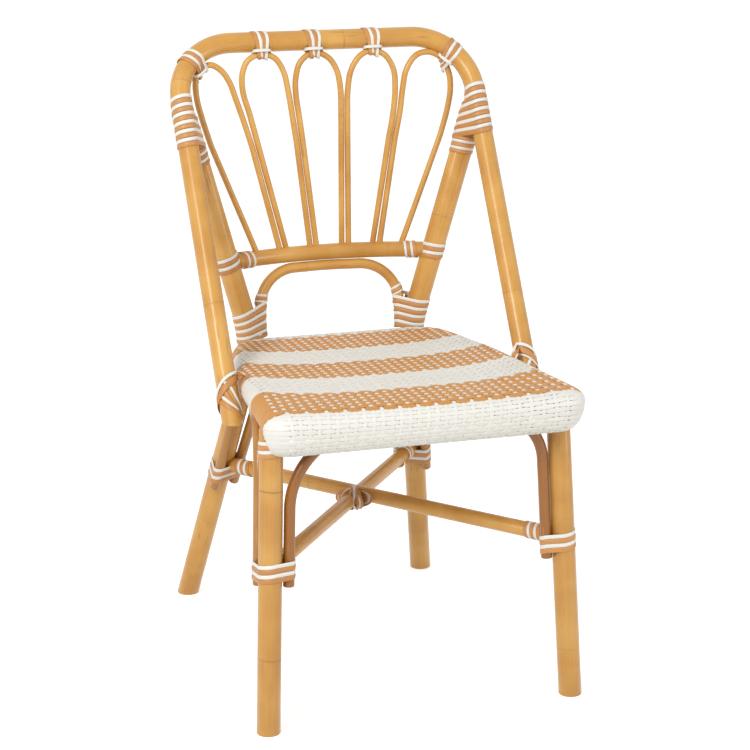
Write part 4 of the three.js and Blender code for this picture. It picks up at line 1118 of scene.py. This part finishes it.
def winding(name, bundle, start, end, passes, lanes, facings=None, replaced=True, drawn_in=None):
    """Winds lanes of strip side by side round a bundle of poles. A lane is its paint, the share of
    each pass that it takes, and its number of turns, counted from the start of the winding. It may
    be drawn in to its middle on one side: the way there, how far it is, and by what share."""
    start, end = np.asarray(start, float), np.asarray(end, float)
    span = np.linalg.norm(end - start)
    first_facing, last_facing = facings or (end - start, end - start)
    first_facing, last_facing = unit(first_facing), unit(last_facing)
    pitch = span / passes
    store = binding_store(name)
    for paint, low, high, turns in lanes:
        half = pitch * (high - low) / 2 - strip_gap
        steps = turns * turn_steps
        centres, ups = [], []
        for i in range(steps + 1):
            share = ((low + high) / 2 - 0.5 + turns * i / steps) / passes
            origin = start + (end - start) * share
            facing = unit(first_facing + (last_facing - first_facing) * min(max(share, 0), 1))
            back = unit(np.array([0, 1.0, 0]) - facing * facing[1])
            side = np.cross(facing, back)
            hits = [crossing_of(line, radius, origin, facing) for line, radius in bundle]
            hits = [hit[:3] for hit in hits if hit is not None and hit[3] < far_pole]
            angle = 2 * math.pi * i / turn_steps
            reach = [bundle_reach(hits, origin, facing,
                                  back * math.cos(a) + side * math.sin(a), half)
                     for a in (angle - nudge, angle, angle + nudge)]
            outward = back * math.cos(angle) + side * math.sin(angle)
            around = np.cross(facing, outward)
            centre = origin + outward * reach[1] + around * (reach[2] - reach[0]) / (2 * nudge)
            if drawn_in:
                pull = min(max((centre - origin) @ drawn_in[0] / drawn_in[1], 0), 1) * drawn_in[2]
                centre = centre - (end - start) * (share - 0.5) * pull
            centres.append(centre)
            ups.append(outward)
        lay_strip(store, paint, centres, ups, half)
    piece = binding_piece(f"{name}_strips", store)
    if replaced:
        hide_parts(name)


tan_share = 0.55


def lane_pair(turns, extra=0):
    return ((TAN, 0.0, tan_share, turns + extra), (WHITE, tan_share, 1.0, turns))


tie_half, post_tie_half, rail_tie_half, top_tie_half = 13, 11.5, 9, 12
top_tie_z, rail_tie_inset, arch_spare = seat_rail_z - 39.2, back_post_r + 14.6, 30


def from_end(line, distance):
    return line[0] + unit(line[1] - line[0]) * distance


def drawn_out(line, distance):
    """A centre line drawn on past both ends, for a binding that reaches past a pole's end."""
    return np.vstack([from_end(line, -distance), line, from_end(line[::-1], -distance)])


for hand, side in both_sides:
    front_arch, side_arch, rear_arch = ((drawn_out(line, arch_spare), arch_r) for line in
                                        (front_arch_line, side_arch_line(side), rear_arch_line))
    leg, rear = front_leg_axes[side], mirrored([rear_foot, post_bend], side)
    post = mirrored([post_bend, post_top], side)
    for name, axis, axis_r, arches_there, z, half in (
            ("front_leg_lashing", leg, front_leg_r, [front_arch, side_arch], tie_z, tie_half),
            ("rear_leg_lashing", rear, back_post_r, [rear_arch, side_arch], rear_tie_z, tie_half),
            ("back_rail_post_lashing", post, back_post_r, [], back_rail_z, post_tie_half),
            ("leg_top_lashing", leg, front_leg_r, [], top_tie_z, top_tie_half)):
        winding(f"{name}_{hand}", [(axis, axis_r)] + arches_there, at_height(*axis, z - half),
                at_height(*axis, z + half), 2, lane_pair(2))
    outer, inner = (back_rail_point((back_rail_end[0] - rail_tie_inset + reach) * side)
                    for reach in (rail_tie_half, -rail_tie_half))
    winding(f"back_rail_end_lashing_{hand}", [(back_rail_line, back_rail_r)], outer, inner, 2,
            lane_pair(2))

# Stretcher ends
# Each end has a collar of its own beside the leg's binding: a tan and a white strip, wound round
# the pole two and a half times so that both of its edges are tan.
collar_near, collar_far, collar_passes = 32, 59, 2.5
for hand, other in (("left", "right"), ("right", "left")):
    line = stretcher_lines[hand]
    winding(f"rear_stretcher_lashing_{hand}", [(line, stretcher_r)], from_end(line, collar_near),
            from_end(line, collar_far), collar_passes, lane_pair(2, 1))
    winding(f"front_stretcher_lashing_{other}", [(line, stretcher_r)],
            from_end(line[::-1], collar_far), from_end(line[::-1], collar_near), collar_passes,
            lane_pair(2, 1))

# Post feet and the back arch's feet
# The arch's feet lie along the posts just above the seat. One binding holds each pair, fanned up
# towards the arch, and the arch has a small collar over it.
post_foot_low, post_foot_high = seat_rail_z + 10, seat_rail_z + 59
post_foot_fans = {"left": ((-0.17, 0), (0.04, 0.05)), "right": ((-0.05, 0), (-0.05, 0.05))}
post_foot_passes, arch_collar_passes = 4.3, 1.5
collar_low, collar_high = 50, 63
collar_lanes = ((WHITE, 0.0, 0.4, 1), (TAN, 0.4, 1.0, 1), (WHITE, 1.0, 1.5, 1))
for hand, side in both_sides:
    post = mirrored([post_bend, post_top], side)
    arch = back_arch_line[::-side]
    pared = np.clip(1 - lengths_along(arch) / foot_paring, 0, 1)
    pared_line = drawn_out(arch + np.array([side, 0, 0]) * (pared * foot_pared)[:, None],
                           arch_spare)
    pared_r = arch_r - np.r_[pared[0], pared, 0] * foot_pared
    facings = [unit(unit(post[1] - post[0]) + np.array([fan * side, back, 0]))
               for fan, back in post_foot_fans[hand]]
    winding(f"post_foot_lashing_{hand}", [(post_line(side), back_post_r), (pared_line, pared_r)],
            at_height(*post, post_foot_low), at_height(*post, post_foot_high), post_foot_passes,
            lane_pair(4), facings)
    winding(f"back_arch_collar_{hand}", [(arch, arch_r)], along(arch, collar_low),
            along(arch, collar_high), arch_collar_passes, collar_lanes, replaced=False)

# Hoop shoulders and post tops
# The posts run up behind the hoop and are bound to it where they meet. The binding is level on
# the hoop at its top and widens downwards over both poles. A short one on the post lies under it.
shoulder_low, shoulder_high, meeting_over, past_over = 415, 492, 6, 60
post_spare, tip_inset, merged_inset, shoulder_turns = 8, 1, 4, 6
shoulder_facing = (-0.02, 0.22, 0.97)
post_tie_low, post_tie_high = post_top_z - 68, post_top_z - 43
for hand, side in both_sides:
    post = post_line(side)
    low, high, meeting, past = (hoop_point(hoop_shoulder_x * side, rise) for rise in
                                (shoulder_low, shoulder_high, shoulder_high + meeting_over,
                                 shoulder_high + past_over))
    merged = np.vstack([post, from_end(post[::-1], -post_spare), meeting, past])
    girths = np.array([back_post_r] * len(post) + [back_post_r - tip_inset]
                      + [hoop_r - merged_inset] * 2)
    winding(f"shoulder_lashing_{hand}", [(hoop_line, hoop_r), (merged, girths)], low, high,
            shoulder_turns, lane_pair(shoulder_turns),
            (unit(mirrored(shoulder_facing, side)), hoop_way))
    ends = mirrored([post_bend, post_top], side)
    winding(f"post_top_lashing_{hand}", [(ends, back_post_r)], at_height(*ends, post_tie_low),
            at_height(*ends, post_tie_high), collar_passes, lane_pair(2, 1))

# Loop crowns
# Each loop's crown is bound up to the hoop, and a white cinch drawn round between the two
# pulls that binding tight.
loop_tie_shares = (-0.889, -0.418, -0.066, 0.339, 0.889)
crown_half, crown_drawn, crown_swell = 11.5, 0.42, 0.5
cinch_half, cinch_up, cinch_steps = 2.45, 4.4, 49
cinch_run, cinch_front = 13.2, 3.8
run_power, front_power = 0.75, 0.6
cinch_tilts = (0.5, 0.3, 0.3, 0.3, 0.2)
run_step = 3
hoop_crown = hoop_line[hoop_line[:, 2] > post_top_z]


def on_hoop_crown(x):
    return np.array([np.interp(x, hoop_crown[:, 0], hoop_crown[:, n]) for n in range(3)])


def softened(swing, power):
    return np.sign(swing) * np.abs(swing) ** power


for i, tie_share in enumerate(loop_tie_shares):
    x = tie_share * hoop_shoulder_x
    spot = on_hoop_crown(x)
    run = unit(on_hoop_crown(x + run_step) - spot)
    inward = loop_lines[i][np.linalg.norm(loop_lines[i] - spot, axis=1).argmin()] - spot
    inward = inward - run * (inward @ run)
    apart = np.linalg.norm(inward)
    inward = inward / apart
    winding(f"loop_lashing_{i + 1}", [(hoop_line, hoop_r), (loop_lines[i], loop_r + crown_swell)],
            spot - run * crown_half, spot + run * crown_half, 2, lane_pair(2),
            drawn_in=(inward, apart + loop_r, crown_drawn))
    front = np.cross(run, inward)
    front = front * (1 if front[1] < 0 else -1)
    reach_front = loop_r + (hoop_r - loop_r) * cinch_up / apart + cinch_front
    turns = np.linspace(0, 2 * math.pi, cinch_steps) + math.pi / 2
    swing = cinch_run * softened(np.cos(turns), run_power)
    heave = reach_front * softened(np.sin(turns), front_power)
    path = spot + inward * (apart - cinch_up) + run * swing[:, None]
    path = path - (front + inward * cinch_tilts[i]) * heave[:, None]
    along_run, off_front = np.cos(turns) / cinch_run, np.sin(turns) / reach_front
    ups = run * along_run[:, None] - front * off_front[:, None]
    store = binding_store(f"cinch {i}")
    lay_strip(store, WHITE, path, ups, cinch_half)
    binding_piece(f"loop_cinch_{i + 1}", store)

# Hoop feet
# The hoop's feet are crossed over with strips that come up through the weave, round the hoop and
# back under the side rail. On the hoop they make an open X.
hoop_front = np.array([0, -hoop_way[2], hoop_way[1]])
white_lift, over_lift = 0.2, 1.3
foot_steps, lead_steps, degrees_per_mm = 60, 14, 4
under_weave, lead_bulge = (5, 0, 9), (0, 0, 1.5)


def on_hoop_foot(side, places, lift):
    """Points on the hoop's skin and their outward ways, from angles round it and heights."""
    places = through_points([(angle / degrees_per_mm, rise, 0) for angle, rise in places],
                            foot_steps)
    angles = np.radians(places[:, 0] * degrees_per_mm)
    outward = (np.cos(angles)[:, None] * np.array([side, 0, 0])
               + np.sin(angles)[:, None] * hoop_front)
    share = places[:, 1] / hoop_rise
    axis = np.array([hoop_point(side * x, rise) for x, rise in
                     zip(hoop_foot[0] + (hoop_shoulder_x - hoop_foot[0]) * share, places[:, 1])])
    return axis + outward * (hoop_r + lift), outward


def over_rail(side, points, ups, start):
    """Leads a strip from under the weave at the seat's edge onto the hoop."""
    edge = mirrored(start, side)
    halfway = (edge + points[0]) / 2 + lead_bulge
    lead = through_points([edge - mirrored(under_weave, side), edge, halfway, points[0]],
                          lead_steps)
    shares = np.linspace(0, 1, len(lead) - 1)[:, None]
    lead_ups = unit_rows(np.array([0, 0, 1.0]) * (1 - shares) + ups[0] * shares)
    return np.vstack([lead[:-1], points]), np.vstack([lead_ups, ups])


foot_over = {
    "left": [
        (WHITE, 2.2, (200, -90, 457),
         ((150, 70), (92, 63), (54, 55), (28, 47), (0, 39), (-45, 28), (-90, 18), (-150, 8))),
        (TAN, 4.3, (199, -98, 457),
         ((150, 62), (104, 54), (62, 45), (24, 35), (-8, 28), (-50, 19), (-90, 10), (-150, 2)))],
    "right": [
        (WHITE, 2.4, (200, -92, 457),
         ((140, 77), (115, 75), (87, 71), (55, 65), (20, 55), (-20, 44), (-90, 28), (-150, 14))),
        (TAN, 4.6, (200, -101, 457),
         ((140, 69), (115, 66), (89, 61), (60, 54), (20, 45), (-20, 35), (-90, 18), (-150, 6))),
        (WHITE, 1.6, (200, -109, 457),
         ((140, 61), (115, 58), (89, 53), (60, 46), (20, 37), (-20, 27), (-90, 10), (-150, 2)))]}
foot_under = (
    (TAN, 3.2, ((38, 52), (60, 43), (90, 25), (134, 8), (170, 1))),
    (WHITE, 2.2, ((62, 56), (92, 47), (118, 32), (150, 17), (172, 7))),
    (WHITE, 2.1, ((-10, 42), (36, 36), (68, 27), (94, 20), (125, 12))),
    (TAN, 2.8, ((-150, 44), (-90, 40), (-40, 35), (20, 29), (68, 18), (110, 9), (160, 1))))
for hand, side in both_sides:
    store = binding_store(f"hoop foot {hand}")
    for paint, half, places in foot_under:
        points, ups = on_hoop_foot(side, places, white_lift if paint == WHITE else 0)
        lay_strip(store, paint, points, ups, half)
    for paint, half, start, places in foot_over[hand]:
        points, ups = over_rail(side, *on_hoop_foot(side, places, over_lift), start)
        lay_strip(store, paint, points, ups, half)
    foot = binding_piece(f"hoop_foot_lashing_{hand}_strips", store)
    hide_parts(f"hoop_foot_lashing_{hand}")

# Stretcher crossing
# Three strips side by side go round the crossing four times, from corner to corner, and make a
# thick X on top of the halved joint.
crossing_passes = ((-19, 0.0), (19, 1.2), (-12, 2.4), (12, 3.6))
crossing_lanes = ((TAN, -1.4, 1.9), (WHITE, 3.0, 2.5), (TAN, 7.4, 1.9))
crossing_reach, crossing_slack, evened_steps = 17, 2.5, 3
crossing_marks, crossing_start, widest_try, try_step = 97, 190, 24, 0.25
tries = np.arange(stretcher_r, widest_try, try_step)
first_pole, second_pole = stretcher_lines["left"], stretcher_lines["right"]
crossing_share = rear_foot[0] / (rear_foot[0] + front_foot[0])
crossing_point = second_pole[0] + (second_pole[1] - second_pole[0]) * crossing_share
crossing_way = unit(first_pole[1] - first_pole[0])
crossing_front = unit(np.cross(crossing_way, (0, 0, 1)))
store = binding_store("stretcher crossing")
angles = np.linspace(0, 2 * math.pi, crossing_marks) + math.radians(crossing_start)
outward = np.cos(angles)[:, None] * crossing_front + np.sin(angles)[:, None] * np.array([0, 0, 1.0])
for spread, lift in crossing_passes:
    for paint, offset, half in crossing_lanes:
        base = crossing_point + crossing_way * (spread * np.cos(angles) + offset)[:, None]
        spots = base[:, None] + outward[:, None] * tries[:, None]
        gaps = distance_to(spots.reshape(-1, 3), second_pole).reshape(spots.shape[:2])
        clear = gaps > stretcher_r
        reach = np.clip(np.where(clear, 0, tries).max(axis=1), stretcher_r, crossing_reach)
        window = 2 * evened_steps + 1
        reach = np.convolve(np.pad(reach, evened_steps, "edge"), np.ones(window) / window, "valid")
        rise = lift + crossing_slack * np.clip(np.sin(angles), 0, 1)
        lay_strip(store, paint, base + outward * (reach + rise)[:, None], outward, half)
crossing = binding_piece("stretcher_cross_lashing_strips", store)
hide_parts("stretcher_cross_lashing")
